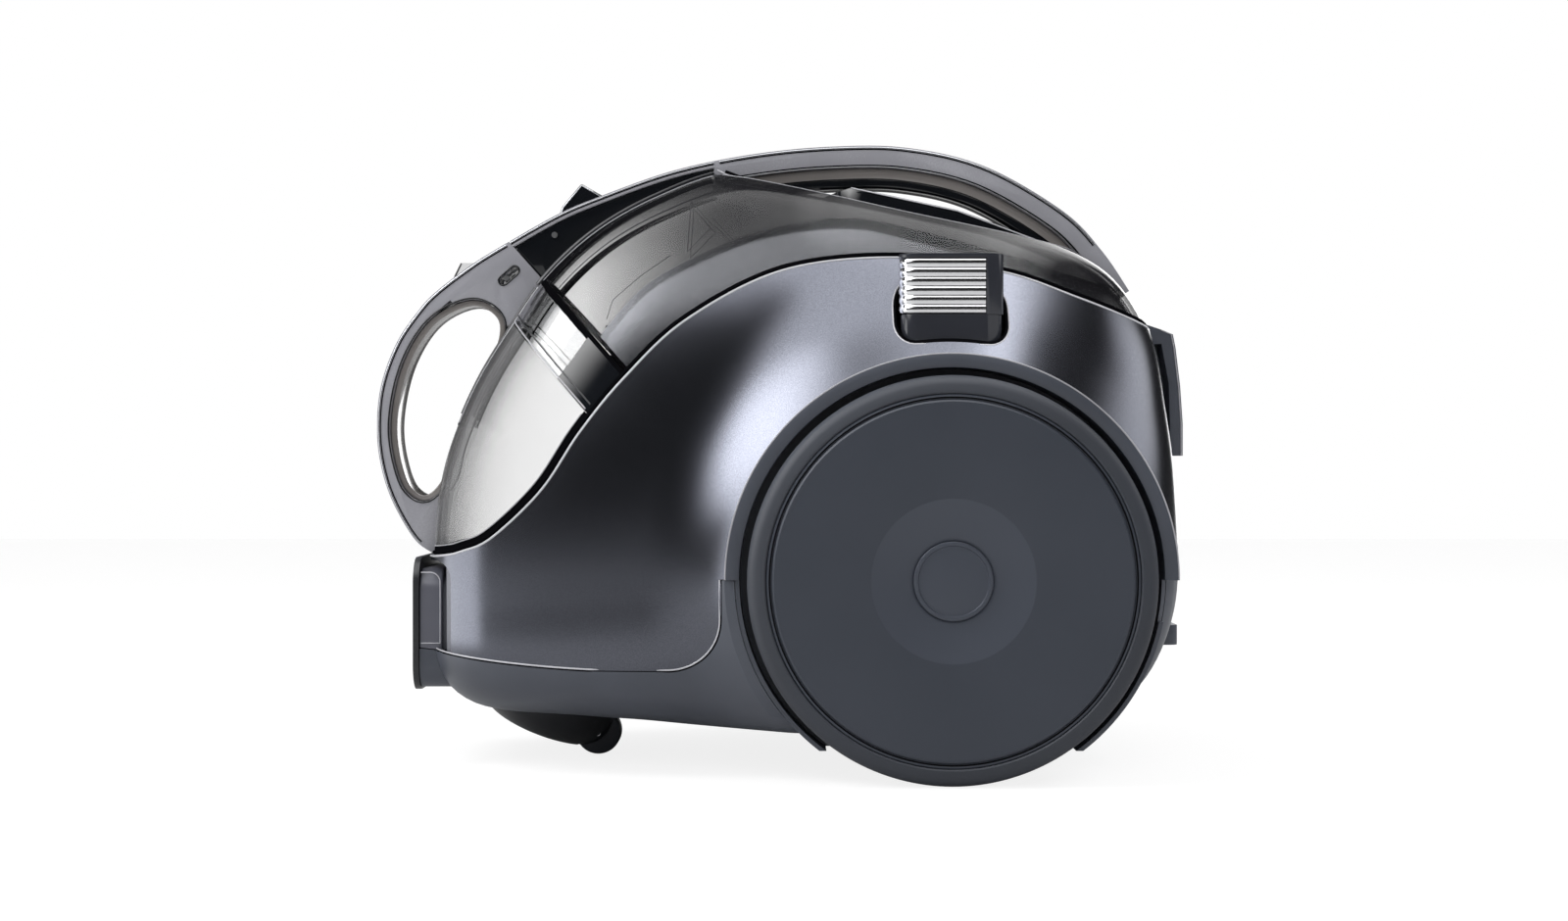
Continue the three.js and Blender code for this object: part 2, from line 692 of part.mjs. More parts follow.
function binCollar() {
  const band = common(frontOfSeam(slip / 2 + 2), behindSeam(collarDepth - seat), aboveShoulder(slip));
  const outer = common(form(coverInset), band);
  const inner = common(form(coverInset + coverWall), aboveShoulder(slip + coverWall));
  return cut(outer, inner);
}

function binGasket() {
  const band = common(frontOfSeam(slip / 2), behindSeam(slip / 2 + 2 - seat), aboveShoulder(slip));
  const outer = common(form(coverInset + 0.4), band);
  const inner = common(form(coverInset + coverWall - 0.4), aboveShoulder(slip + coverWall - 0.4));
  return cut(outer, inner);
}

function binCradle() {
  const outer = slabOf(tubOutline(seat + cradleWall), far);
  const inner = slabOf(tubOutline(seat), far);
  const room = common(innerForm(housingWall + seat), belowShoulder(0), block(-far, -70, -far, far, 0, far));
  const sheet = common(cut(outer, inner), room, block(-far, -66, -far, far, -far, 190));
  return cut(sheet, binPort(ductRadius - ductWall));
}

// ---------------------------------------------------------------- handles
const binCrestLine = smooth(binHandleCrest, 20);
const carryCrestLine = smooth(handleCrest, 26);

// A strip that follows a crest, from depth a to depth b below it
const strip = (line, a, b) => toShape([...offset(line, -a), ...offset(line, -b).reverse()]);

// The finger loop, its opening widened by margin
function fingerLoop(margin) {
  const curve = new THREE.CatmullRomCurve3(
    loopOutline.map(([x, z]) => new THREE.Vector3(x, z, 0)), true, 'centripetal');
  const line = curve.getPoints(28).slice(0, 28).map((point) => [point.x, point.y]);
  const closed = [line[line.length - 1], ...line, line[0]];
  return sideSlab(toShape(offset(closed, -margin).slice(1, -1)), -far, far);
}

// Root panel at the top of the loop, down to the seam and the collar; foot at the bottom
const rootPanel = () => sideSlab(toShape([
  ...binCrestLine.slice(-7), seamPoint(36, 0), [-134, 222], [-160, 222], [-172, 238],
]), -handleHalfWidth, handleHalfWidth);
const footPanel = () => sideSlab(toShape([
  ...binCrestLine.slice(0, 5), [-190, 146], [-178, 150], [-168, 130], [-168, 104],
]), -handleHalfWidth, handleHalfWidth);

// Rounded slot in the root panel, along the way the slider moves
function sliderSlot() {
  const angle = Math.atan2(sliderDirection[1], sliderDirection[0]);
  const [startX, startZ] = [sliderPin[0] - sliderSlotSpare * sliderDirection[0],
    sliderPin[1] - sliderSlotSpare * sliderDirection[1]];
  const reach = sliderTravel + 2 * sliderSlotSpare;
  const shape = new THREE.Shape();
  shape.absarc(startX, startZ, sliderSlotRadius, angle + Math.PI / 2, angle + 1.5 * Math.PI, false);
  shape.absarc(
    startX + reach * sliderDirection[0], startZ + reach * sliderDirection[1], sliderSlotRadius,
    angle - Math.PI / 2, angle + Math.PI / 2, false);
  return sideSlab(shape, -far, far);
}

// The housing's outer surface, kept clear of what hangs over it
const housingSkin = () => common(form(-seat), belowShoulder(-slip));

function binHandle() {
  const band = sideSlab(strip(binCrestLine, 0, binBandThickness), -handleHalfWidth, handleHalfWidth);
  const whole = join(band, rootPanel(), footPanel());
  const clear = cut(whole, form(coverInset - seat), behindSeam(slip / 2));
  const channel = slabOf(sliderChannel, sliderHalfWidth + seat);
  return cut(clear, fingerLoop(binGripThickness), channel, sliderSlot(), housingSkin());
}

function binGrip() {
  const band = cut(fingerLoop(binGripThickness - seat), fingerLoop(0));
  const width = block(-far, far, -gripHalfWidth, gripHalfWidth, 0, far);
  return cut(common(band, width), form(coverInset - seat), housingSkin());
}

// Thumb tab on the loop, its link inside the root panel, and the pin that shows in the slot
function binTab() {
  const hole = turnedY(rod(sliderPinRadius + seat, -far, far), ...sliderPin, 12);
  return cut(slabOf(sliderOutline, sliderHalfWidth), hole);
}
function binPin() {
  return turnedY(rod(sliderPinRadius, -handleHalfWidth, handleHalfWidth), ...sliderPin, 12);
}

// The spine is thin over the latch housing, then swells into the carry handle
function carryHandle() {
  const thin = sideSlab(strip(carryCrestLine, 0, spineThickness), -handleHalfWidth, handleHalfWidth);
  const thick = common(
    sideSlab(strip(carryCrestLine, 0, carryBandThickness), -handleHalfWidth, handleHalfWidth),
    block(carryStartX, far, -far, far, 0, far));
  const button = block(
    leverPivot[0] - 3, leverPivot[0] + 28, -leverHalfWidth - 0.6, leverHalfWidth + 0.6,
    leverPivot[1] + 3, leverPivot[1] + 31);
  return cut(
    common(join(thin, thick), behindSeam(-slip / 2)), coverForm(coverInset - seat), button,
    housingSkin());
}

function carryGrip() {
  const depth = carryBandThickness + carryGripThickness;
  const under = sideSlab(
    strip(carryCrestLine, carryBandThickness + seat, depth), -gripHalfWidth, gripHalfWidth);
  const reach = block(carryStartX + seat, 165, -far, far, 0, far);
  return cut(common(under, reach), coverForm(coverInset - seat), recessSolid(seat));
}

// ---------------------------------------------------------------- cover and what stands on it
const recessPlan = (margin) => roundedRectangle(
  recessStartX - margin, recessEndX + margin, -recessHalfWidth - margin, recessHalfWidth + margin,
  30 + margin);
const recessFloor = (rise) => sideSlab(toShape([
  ...smooth([
    [recessStartX - 4, flatZ(recessStartX) + 2],
    [recessStartX + 24, flatZ(recessStartX + 24) - recessDepth + 5],
    [72, flatZ(72) - recessDepth], [recessEndX - 18, flatZ(recessEndX - 18) - recessDepth + 12],
    [recessEndX + 4, flatZ(recessEndX) + 2],
  ], 14).map(([x, z]) => [x, z + rise]), [far, far], [-far, far]]), -far, far);
const recessRim = sideSlab(toShape([
  [-far, -far], [far, -far],
  [recessEndX + 8, flatZ(recessEndX + 8)], [90, flatZ(90) + recessRise],
  [recessStartX + 14, flatZ(recessStartX + 14) + recessRise], [recessStartX - 4, flatZ(recessStartX - 4)],
]), -far, far);
const recessSolid = (margin) => common(
  planSlab(recessPlan(margin), recessCutBottomZ, recessCutTopZ), recessFloor(-margin), recessRim);
function handleRecess() {
  const room = common(
    planSlab(recessPlan(-recessWall), recessCutBottomZ, recessCutTopZ), recessFloor(recessWall));
  return cut(recessSolid(0), room);
}

function topCover() {
  const region = common(aboveShoulder(slip), behindSeam(-slip / 2));
  const outer = common(coverForm(coverInset), region);
  const room = common(coverForm(coverInset + coverWall), behindSeam(3));
  const slot = common(planSlab(recessPlan(seat), recessCutBottomZ, recessCutTopZ), recessFloor(-seat));
  return cut(outer, room, slot);
}

function latchHousing() {
  const under = sideSlab(toShape([
    ...offset(carryCrestLine, -spineThickness - seat).filter(([x]) => x < carryStartX - 1),
    [carryStartX - 1, 285], [-60, 270], [-100, 240], [-130, 225],
  ]), -handleHalfWidth + 1, handleHalfWidth - 1);
  const room = sideSlab(toShape([
    [-150, 225], [-150, 282], [-84, 300], [-84, 240],
  ]), -leverHalfWidth - 1, leverHalfWidth + 1);
  const pinHole = turnedY(rod(leverPinRadius + seat, -far, far), leverPivot[0], leverPivot[1], 12);
  return cut(common(under, behindSeam(-slip / 2)), coverForm(coverInset - seat), room, pinHole);
}

function releaseLever() {
  const [px, pz] = leverPivot;
  const arm = slabOf([
    [px - 6, pz - 5], [px + 8, pz - 5], [px + 24, pz + 12], [px + 24.5, pz + 21], [px + 13, pz + 27.5],
    [px + 3, pz + 15.5], [px - 2, pz + 1], [px - 6, pz - 1],
  ], leverHalfWidth);
  const hole = turnedY(rod(leverPinRadius + seat, -far, far), px, pz, 12);
  return cut(arm, hole);
}
function releasePin() {
  const [px, pz] = leverPivot;
  return turnedY(rod(leverPinRadius, -handleHalfWidth, handleHalfWidth), px, pz, 12);
}

function filterDeck() {
  const sheet = common(belowShoulder(deckDrop), aboveShoulder(-deckDrop - cradleWall));
  const region = block(-74, far, -far, far, 0, far);
  const wells = join(pedalPocket, mirrored(pedalPocket));
  return cut(common(sheet, innerForm(housingWall + seat), region), wells);
}

function innerShroud() {
  const inset = coverInset + coverWall + shroudGap;
  const shell = cut(common(form(inset), innerForm(housingWall + seat)), innerForm(inset + shroudWall));
  const below = sideSlab(toShape([...smooth(shroudRim, 16), [far, -far], [-far, -far]]), -far, far);
  const recess = common(planSlab(recessPlan(seat), recessCutBottomZ, recessCutTopZ), recessFloor(-seat));
  return cut(common(shell, below, aboveShoulder(seat - deckDrop), behindSeam(-4)), recess);
}

// ---------------------------------------------------------------- housing and chassis
const grilleWindow = (margin) => block(
  grilleFrontX, far, -grilleHalfWidth - margin, grilleHalfWidth + margin,
  grilleBottomZ - margin, grilleTopZ + margin);
const parkChannel = block(
  parkDeepX, parkBackX - 3, -parkSlotHalfWidth, parkSlotHalfWidth, parkBottomZ - 5, parkSlotTopZ);
const hookWay = block(
  parkDeepX, far, -parkSlotHalfWidth, parkSlotHalfWidth, grilleTopZ - 5, parkBottomZ);
const parkLining = (margin) => block(
  parkDeepX - 2 - margin, far, -parkSlotHalfWidth - 2 - margin, parkSlotHalfWidth + 2 + margin,
  parkBottomZ - margin, parkSlotTopZ + 2 + margin);

function upperHousing() {
  const shell = common(cut(form(0), innerForm(housingWall)), belowShoulder(0), aboveSill(slip / 2));
  const wells = join(pedalPocket, mirrored(pedalPocket));
  return cut(shell, wellSpaces, wells, grilleWindow(seat), socketHole, parkLining(seat), hookWay,
    noseRecess(0));
}

const boardBlock = (margin) => block(
  boardFrontX - margin, boardRearX + margin, boardY - margin, boardY + boardThickness + margin,
  boardBottomZ - margin, boardTopZ);

// Grooved posts that hold the control board on edge
const boardPosts = [boardFrontX + 4, boardRearX - 4].map((x) => cut(
  block(x - 6, x + 6, boardY - 3, boardY + boardThickness + 3, 10, boardBottomZ + 12),
  boardBlock(seat)));

const bossOuter = casterStemRadius + 6;
const swivelSocket = turnedZ(rod(casterRadius + 1, 0, casterTopZ + 0.8), casterX, 0, 24);
const stemBore = turnedZ(rod(casterStemRadius + seat, 0, far), casterX, 0, 14);

function lowerChassis() {
  const shell = common(cut(form(0), innerForm(chassisWall)), belowSill(slip / 2));
  const footing = innerForm(chassisWall / 2);
  const noseLower = common(noseBlock(noseInset, noseLowerEndX), belowSill(slip / 2));
  const nose = cut(noseLower, innerForm(chassisWall));
  const casterPlate = common(
    turnedZ(rod(casterRadius + 4, 0, casterTopZ + 4), casterX, 0, 20), footing);
  const casterBoss = turnedZ(rod(bossOuter, casterTopZ + 2, casterBossTopZ), casterX, 0, 16);
  const axleBoss = common(
    slabOf([
      [axleX - 13, 10], [axleX + 13, 10], [axleX + 13, axleZ], [axleX + 9, axleZ + 10],
      [axleX - 9, axleZ + 10], [axleX - 13, axleZ],
    ], far),
    block(-far, far, 84, wellFloorY - seat - 0.3, 0, far), footing);
  const axleBosses = join(axleBoss, mirrored(axleBoss));
  const saddles = [-1, 1].map((end) => {
    const x = motorX + end * (motorLength / 2 - mountWidth / 2 - 4);
    const post = common(
      block(x - 5, x + 5, -saddleHalfWidth, saddleHalfWidth, 10, motorZ - 22), footing);
    return cut(post, turnedX(rod(motorRadius + mountThickness + seat, x - 9, x + 9), 0, motorZ, 20));
  });
  const reelPosts = [-1, 1].map((side) => {
    const y = side * (reelHalfWidth + 5.5);
    const post = common(
      slabOf([[reelX - 10, 10], [reelX + 10, 10], [reelX + 9, reelZ + 9], [reelX - 9, reelZ + 9]], far),
      block(-far, far, y - 3, y + 3, 0, far), footing);
    return post;
  });
  const reelBore = turnedY(rod(reelShaftRadius + seat, -far, far), reelX, reelZ, 12);
  const axleBore = turnedY(rod(axleRadius + seat, -far, far), axleX, axleZ, 12);
  const posts = [...saddles, ...reelPosts, ...boardPosts.map((post) => common(post, footing))];
  const whole = join(shell, nose, casterPlate, casterBoss, axleBosses, ...posts);
  return cut(whole, wellSpaces, swivelSocket, stemBore, reelBore, axleBore, socketHole);
}

// ---------------------------------------------------------------- wheels and arches
function archLiner() {
  const cup = turnedY([
    [axleRadius + seat, wellFloorY], [wellOuterRadius, wellFloorY], [wellOuterRadius, archLipY + seat],
    [wellRadius, archLipY + seat], [wellRadius, wellFloorY + archWall],
    [axleRadius + seat, wellFloorY + archWall], [axleRadius + seat, wellFloorY],
  ], axleX, axleZ, 32);
  const lip = turnedY(
    ring(wellRadius, lipOuterRadius, archLipY + seat, archLipY + seat + archLipThickness), axleX, axleZ, 32);
  const upper = block(-far, far, 0, far, axleZ, far);
  const lowerWall = block(-far, far, 0, archLipY - 3, archFootZ, far);
  const collar = block(-far, far, archLipY - 20, archLipY + 1, axleZ, far);
  return join(common(cup, join(form(0.1), common(lowerWall, belowSill(20)), collar)), common(lip, upper));
}

function wheelDisc() {
  const rim = wheelRadius - tyreThickness;
  const face = wheelFaceY;
  return turnedY([
    [axleRadius + seat, wheelInnerY], [hubRadius, wheelInnerY], [hubRadius, face - 5],
    [rim - rimThickness, face - 4], [rim - rimThickness, wheelInnerY + 1], [rim, wheelInnerY + 1],
    [rim, face - 1], [rim - 1.4, face - 0.4], [rim - 2.2, face - 1.4], [rim - 3, face],
    [wheelDishRadius + 2, face], [wheelDishRadius, face - 1], [hubCapRadius + seat, face - 1.2],
    [hubCapRadius + seat, face - 3], [axleRadius + seat, face - 3], [axleRadius + seat, wheelInnerY],
  ], axleX, axleZ, 28);
}
function tyre() {
  const inner = wheelRadius - tyreThickness + seat;
  const face = wheelFaceY;
  return turnedY([
    [inner, wheelInnerY + 1], [wheelRadius - 2, wheelInnerY + 1], [wheelRadius, wheelInnerY + 4],
    [wheelRadius, face - 7], [wheelRadius - 1.2, face - 3.2], [wheelRadius - 4.5, face - 0.8],
    [inner, face - 0.4], [inner, wheelInnerY + 1],
  ], axleX, axleZ, 28);
}
function hubCap() {
  return turnedY([
    [0, wheelFaceY - 3 + seat], [hubCapRadius, wheelFaceY - 3 + seat], [hubCapRadius, wheelFaceY - 1],
    [hubCapRadius - 1.2, wheelFaceY - 0.4], [hubCapRadius - 2.4, wheelFaceY - 1.2], [0, wheelFaceY - 0.7],
  ], axleX, axleZ, 20);
}
function axle() {
  return turnedY(rod(axleRadius, 85, wheelFaceY - 3.5), axleX, axleZ, 12);
}

// ---------------------------------------------------------------- caster
// The fairing narrows downwards, and each level is moved further towards the wheel
function casterDome() {
  const depth = casterTopZ - casterBottomZ;
  const levels = [1, 0.97, 0.86, 0.68, 0.46, 0.22, 0];
  const profile = levels.map((share) => [
    casterRadius * (1 - share ** 1.5) ** 0.55, casterTopZ - depth * share,
  ]);
  profile.push([0, casterTopZ]);
  const geometry = new THREE.LatheGeometry(toProfile(profile), 24).rotateX(Math.PI / 2);
  const place = geometry.attributes.position;
  for (let i = 0; i < place.count; i += 1) {
    const share = Math.max(0, (casterTopZ - place.getZ(i)) / depth);
    place.setX(i, place.getX(i) + casterLean * share ** 1.6);
  }
  return solid(geometry.translate(casterX, 0, 0));
}

function casterSwivel() {
  const dome = casterDome();
  const stem = turnedZ(rod(casterStemRadius, casterTopZ - 2, casterStemTopZ), casterX, 0, 14);
  const retainer = turnedZ(
    rod(casterStemRadius + 3, casterBossTopZ + seat, casterStemTopZ - 2), casterX, 0, 14);
  const wheelX = casterX + casterTrail;
  const slot = turnedY(rod(casterWheelRadius + 1.4, -casterWheelHalfWidth - 0.8, casterWheelHalfWidth + 0.8),
    wheelX, casterWheelRadius, 20);
  const below = block(
    wheelX - 2, far, -casterWheelHalfWidth - 0.8, casterWheelHalfWidth + 0.8, 0, casterWheelRadius);
  const bore = turnedY(rod(casterAxleRadius + seat, -far, far), wheelX, casterWheelRadius, 10);
  return cut(join(dome, stem, retainer), slot, below, bore);
}
function casterAxle() {
  return turnedY(rod(casterAxleRadius, -13, 13), casterX + casterTrail, casterWheelRadius, 10);
}
function casterWheel() {
  const half = casterWheelHalfWidth;
  return turnedY([
    [casterAxleRadius + seat, -half], [casterWheelRadius - 2, -half], [casterWheelRadius, -half + 2.5],
    [casterWheelRadius, half - 2.5], [casterWheelRadius - 2, half], [casterAxleRadius + seat, half],
    [casterAxleRadius + seat, -half],
  ], casterX + casterTrail, casterWheelRadius, 20);
}

// ---------------------------------------------------------------- suction unit
const motorFront = motorX - motorLength / 2;
const motorBack = motorX + motorLength / 2;
function motorShell() {
  const r = motorRadius;
  return turnedX([
    [20, motorFront], [r - 4, motorFront], [r, motorFront + 4], [r, motorBack - 10], [r - 12, motorBack],
    [26, motorBack], [26, motorBack - motorWall], [r - 13, motorBack - motorWall],
    [r - motorWall, motorBack - 11], [r - motorWall, motorFront + 5], [r - 5, motorFront + motorWall],
    [20, motorFront + motorWall], [20, motorFront],
  ], 0, motorZ, 20);
}
const coreFrontX = motorFront + motorWall + 2 + impellerDepth + 5;
function motorCore() {
  const flange = ring(rotorShaftRadius + seat, motorRadius - motorWall - seat, coreFrontX, coreFrontX + 3);
  const can = ring(rotorShaftRadius + seat, coreRadius, coreFrontX + 1, motorBack - 14);
  const neck = ring(rotorShaftRadius + seat, 25.6, motorBack - 15, motorBack - 1);
  return join(turnedX(flange, 0, motorZ, 20), turnedX(can, 0, motorZ, 20), turnedX(neck, 0, motorZ, 20));
}
function impeller() {
  const x0 = motorFront + motorWall + 2;
  const x1 = x0 + impellerDepth;
  const backPlate = turnedX(rod(impellerRadius, x1 - 1.5, x1), 0, motorZ, 27);
  const hub = turnedX([[0, x0], [7, x0], [11, x1 - 1], [0, x1 - 1]], 0, motorZ, 18);
  const shaft = turnedX(rod(rotorShaftRadius, x1 - 1, motorBack - 3), 0, motorZ, 20);
  const blades = [];
  for (let i = 0; i < impellerBlades; i += 1) {
    const shape = new THREE.Shape();
    const sweep = [];
    for (let k = 0; k <= 3; k += 1) {
      const radius = 8 + (impellerRadius - 9) * (k / 3);
      const angle = (i / impellerBlades) * 2 * Math.PI - 0.9 * (k / 3);
      sweep.push([radius * Math.cos(angle), radius * Math.sin(angle)]);
    }
    shape.setFromPoints([...offset(sweep, 0.8), ...offset(sweep, -0.8).reverse()]
      .map(([y, z]) => new THREE.Vector2(y, z)));
    blades.push(frontSlab(shape, x0 + 1, x1 - 0.5).translate([0, 0, motorZ]));
  }
  return join(backPlate, hub, shaft, ...blades);
}
const motorMount = (end) => {
  const x = motorX + end * (motorLength / 2 - mountWidth / 2 - 4);
  return turnedX(
    ring(motorRadius + seat, motorRadius + mountThickness, x - mountWidth / 2, x + mountWidth / 2),
    0, motorZ, 20);
};
function motorFilter() {
  const plan = roundedRectangle(-42, 42, motorZ - 40, motorZ + 40, 10);
  return frontSlab(plan, motorFront - 16, motorFront - seat);
}

// ---------------------------------------------------------------- cord rewind
function reelDrum() {
  return turnedY([
    [reelShaftRadius + seat, -reelHalfWidth], [reelRadius, -reelHalfWidth],
    [reelRadius, -reelHalfWidth + reelFlange], [reelHubRadius, -reelHalfWidth + reelFlange],
    [reelHubRadius, reelHalfWidth - reelFlange], [reelRadius, reelHalfWidth - reelFlange],
    [reelRadius, reelHalfWidth], [reelShaftRadius + seat, reelHalfWidth],
    [reelShaftRadius + seat, -reelHalfWidth],
  ], reelX, reelZ, 24);
}
function reelShaft() {
  return turnedY(rod(reelShaftRadius, -reelHalfWidth - 10, reelHalfWidth + 10), reelX, reelZ, 12);
}

// ---------------------------------------------------------------- tail
// A tray let into the housing; its floor holds the louvres, its top lets the parked wand's hook pass
function exhaustGrille() {
  const tray = cut(common(form(0.6), grilleWindow(0)), innerForm(grilleDepth + grilleWall));
  const pocket = cut(grilleWindow(-grilleWall), form(grilleDepth));
  const pitch = (grilleTopZ - grilleBottomZ) / (grilleSlots + 1);
  const slots = [];
  for (let i = 1; i <= grilleSlots; i += 1) {
    const z = grilleBottomZ + i * pitch;
    slots.push(block(150, far, -grilleHalfWidth + 5, grilleHalfWidth - 5, z - 1.5, z + 1.5));
  }
  return cut(tray, pocket, hookWay, ...slots);
}
function exhaustFilter() {
  return common(
    innerForm(grilleDepth + grilleWall + seat),
    block(reelX + reelRadius + 1.5, far, 2 - grilleHalfWidth, grilleHalfWidth - 2, 0, far),
    grilleWindow(-2));
}
function parkingBracket() {
  const outline = [
    [174, 206], [178, parkTopZ], [185, parkTopZ], [195.1, 219.2], [200.4, 217], [201.8, 210], [204.1, 190.6],
    [parkBackX, 171.6], [parkBackX, parkBottomZ], [174, parkBottomZ],
  ];
  const flap = sideSlab(toShape(outline), -parkHalfWidth, parkHalfWidth);
  // Open at the sides, between the flap and the housing
  const side = sideSlab(toShape([
    [170, 150], [170, 205], [186, parkSlotTopZ], [194.5, parkSlotTopZ], [198.2, 192], [199.4, 150],
  ]), parkSlotHalfWidth + parkRib, far);
  const lining = common(parkLining(0), block(0, parkBackX - 3, -far, far, 0, far));
  const slit = block(parkDeepX + 4, far, -4.5, 4.5, 0, parkSlotTopZ - 7);
  const plate = cut(flap, housingSkin(), side, mirrored(side));
  return cut(join(plate, lining), parkChannel, slit, coverForm(coverInset - seat));
}
function rearFoot() {
  const plan = roundedRectangle(170, footBackX, -footHalfWidth, footHalfWidth, 5);
  const bar = planSlab(plan, footBottomZ, footTopZ);
  return cut(bar, form(-seat));
}

// ---------------------------------------------------------------- assembly
const group = new THREE.Group();
function piece(name, body, color, roughness = 0.5, metalness = 0) {
  const geometry = toGeometry(body);
  const mesh = new THREE.Mesh(geometry, new THREE.MeshStandardMaterial({ color, roughness, metalness }));
  mesh.name = name;
  group.add(mesh);
}
function pair(name, body, color, roughness, metalness) {
  piece(`${name}_right`, body, color, roughness, metalness);
  piece(`${name}_left`, mirrored(body), color, roughness, metalness);
}

const slate = 0x484b54;
const black = 0x15161a;
const gunmetal = 0x6a6c72;
const smoke = 0x5a5757;
const clear = 0xcfd3d6;
const bandGrey = 0x7d7d87;
const steel = 0xb8bcc0;
const rubber = 0x1b1b1d;

piece('lower_chassis', lowerChassis(), slate, 0.6);
piece('upper_housing', upperHousing(), gunmetal, 0.25, 0.8);
piece('top_cover', topCover(), smoke, 0.15);
piece('filter_deck', filterDeck(), black);
piece('inner_shroud', innerShroud(), gunmetal, 0.3, 0.8);
piece('bin_cradle', binCradle(), black);
piece('handle_recess', handleRecess(), black, 0.3);
piece('latch_housing', latchHousing(), black, 0.2);
piece('carry_handle', carryHandle(), bandGrey, 0.3);
piece('carry_grip', carryGrip(), smoke, 0.3);
piece('release_lever', releaseLever(), black, 0.15);
piece('release_pin', releasePin(), steel, 0.3, 1);
piece('dust_bin', dustBin(), clear, 0.1);
piece('bin_collar', binCollar(), smoke, 0.1);
piece('bin_gasket', binGasket(), rubber, 0.8);
piece('bin_handle', binHandle(), bandGrey, 0.3);
piece('bin_grip', binGrip(), smoke, 0.3);
piece('bin_tab', binTab(), clear, 0.1);
piece('bin_pin', binPin(), steel, 0.3, 1);
piece('nose_plate', nosePlate(), black, 0.35);
piece('front_bezel', frontBezel(), black, 0.2);
piece('hose_socket', hoseSocket(), black, 0.3);
piece('socket_seal', socketSeal(), rubber, 0.8);
piece('inlet_duct', inletDuct(), slate);
pair('arch_liner', archLiner(), slate, 0.6);
pair('axle', axle(), steel, 0.3, 1);
pair('wheel', wheelDisc(), slate, 0.6);
pair('tyre', tyre(), rubber, 0.7);
pair('hub_cap', hubCap(), slate, 0.6);
pair('pedal_well', pedalWell(), black);
pair('pedal', pedalBody(), black, 0.2);
pair('pedal_face', pedalFace(), steel, 0.25, 1);
pair('pedal_spring', pedalSpring(), steel, 0.4, 1);
piece('caster_swivel', casterSwivel(), slate, 0.6);
piece('caster_axle', casterAxle(), steel, 0.3, 1);
piece('caster_wheel', casterWheel(), rubber, 0.7);
piece('motor_shell', motorShell(), black);
piece('motor_core', motorCore(), steel, 0.4, 1);
piece('impeller', impeller(), clear);
piece('motor_mount_front', motorMount(-1), rubber, 0.8);
piece('motor_mount_rear', motorMount(1), rubber, 0.8);
piece('motor_filter', motorFilter(), 0xd8d8d0, 0.9);
piece('reel_drum', reelDrum(), slate);
piece('reel_shaft', reelShaft(), steel, 0.3, 1);
piece('exhaust_grille', exhaustGrille(), black);
piece('exhaust_filter', exhaustFilter(), 0xd8d8d0, 0.9);
piece('parking_bracket', parkingBracket(), slate, 0.5);
piece('rear_foot', rearFoot(), slate, 0.6);
piece('control_board', boardBlock(0), 0x245a38, 0.7);

// The origin lies half way along the length
const box = new THREE.Box3().setFromObject(group);
group.position.x = -(box.min.x + box.max.x) / 2;

export default group;
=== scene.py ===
import math

import bmesh
import bpy
import numpy as np
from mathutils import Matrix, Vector
from mathutils.bvhtree import BVHTree
from mathutils.geometry import barycentric_transform


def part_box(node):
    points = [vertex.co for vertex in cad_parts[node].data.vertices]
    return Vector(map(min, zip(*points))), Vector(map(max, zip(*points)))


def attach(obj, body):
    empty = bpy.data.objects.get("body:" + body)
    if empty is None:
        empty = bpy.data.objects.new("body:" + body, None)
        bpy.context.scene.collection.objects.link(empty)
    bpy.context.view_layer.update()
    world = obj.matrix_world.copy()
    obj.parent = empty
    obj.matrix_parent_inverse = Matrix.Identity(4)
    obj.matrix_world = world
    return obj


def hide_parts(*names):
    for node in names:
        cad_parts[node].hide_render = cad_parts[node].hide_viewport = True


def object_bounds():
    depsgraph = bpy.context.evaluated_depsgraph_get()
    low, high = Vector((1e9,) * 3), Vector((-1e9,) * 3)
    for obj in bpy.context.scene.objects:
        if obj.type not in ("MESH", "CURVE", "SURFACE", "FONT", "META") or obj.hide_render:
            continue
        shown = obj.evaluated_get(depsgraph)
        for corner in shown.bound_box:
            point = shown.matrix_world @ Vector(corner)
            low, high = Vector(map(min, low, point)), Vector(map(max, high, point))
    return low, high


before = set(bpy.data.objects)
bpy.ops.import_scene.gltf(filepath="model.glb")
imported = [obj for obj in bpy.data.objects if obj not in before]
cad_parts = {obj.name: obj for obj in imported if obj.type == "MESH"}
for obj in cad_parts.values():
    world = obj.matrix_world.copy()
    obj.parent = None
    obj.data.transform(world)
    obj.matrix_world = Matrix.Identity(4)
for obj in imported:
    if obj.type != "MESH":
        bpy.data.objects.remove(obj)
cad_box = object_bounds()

# ---------------------------------------------------------------- sizes
# Millimetres, in side view: x to the rear, z up, from the middle of the wheels' own drawing.
# The finished meshes are moved by frame_shift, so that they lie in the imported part's frame.
MM = 0.001
low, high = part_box("wheel_left")
axle_x, axle_z = 81.0, 96.3
frame_shift = (low.x + high.x) / 2 / MM - axle_x

seat = 0.3
slip = 0.5
wheel_radius = 96.3
wheel_width = 33.5
wheel_face_y = 141.5
wheel_inner_y = wheel_face_y - wheel_width
tyre_thickness = 9.0
axle_radius = 5.0
hub_cap_radius = 18.6
dish_radius = 38.5

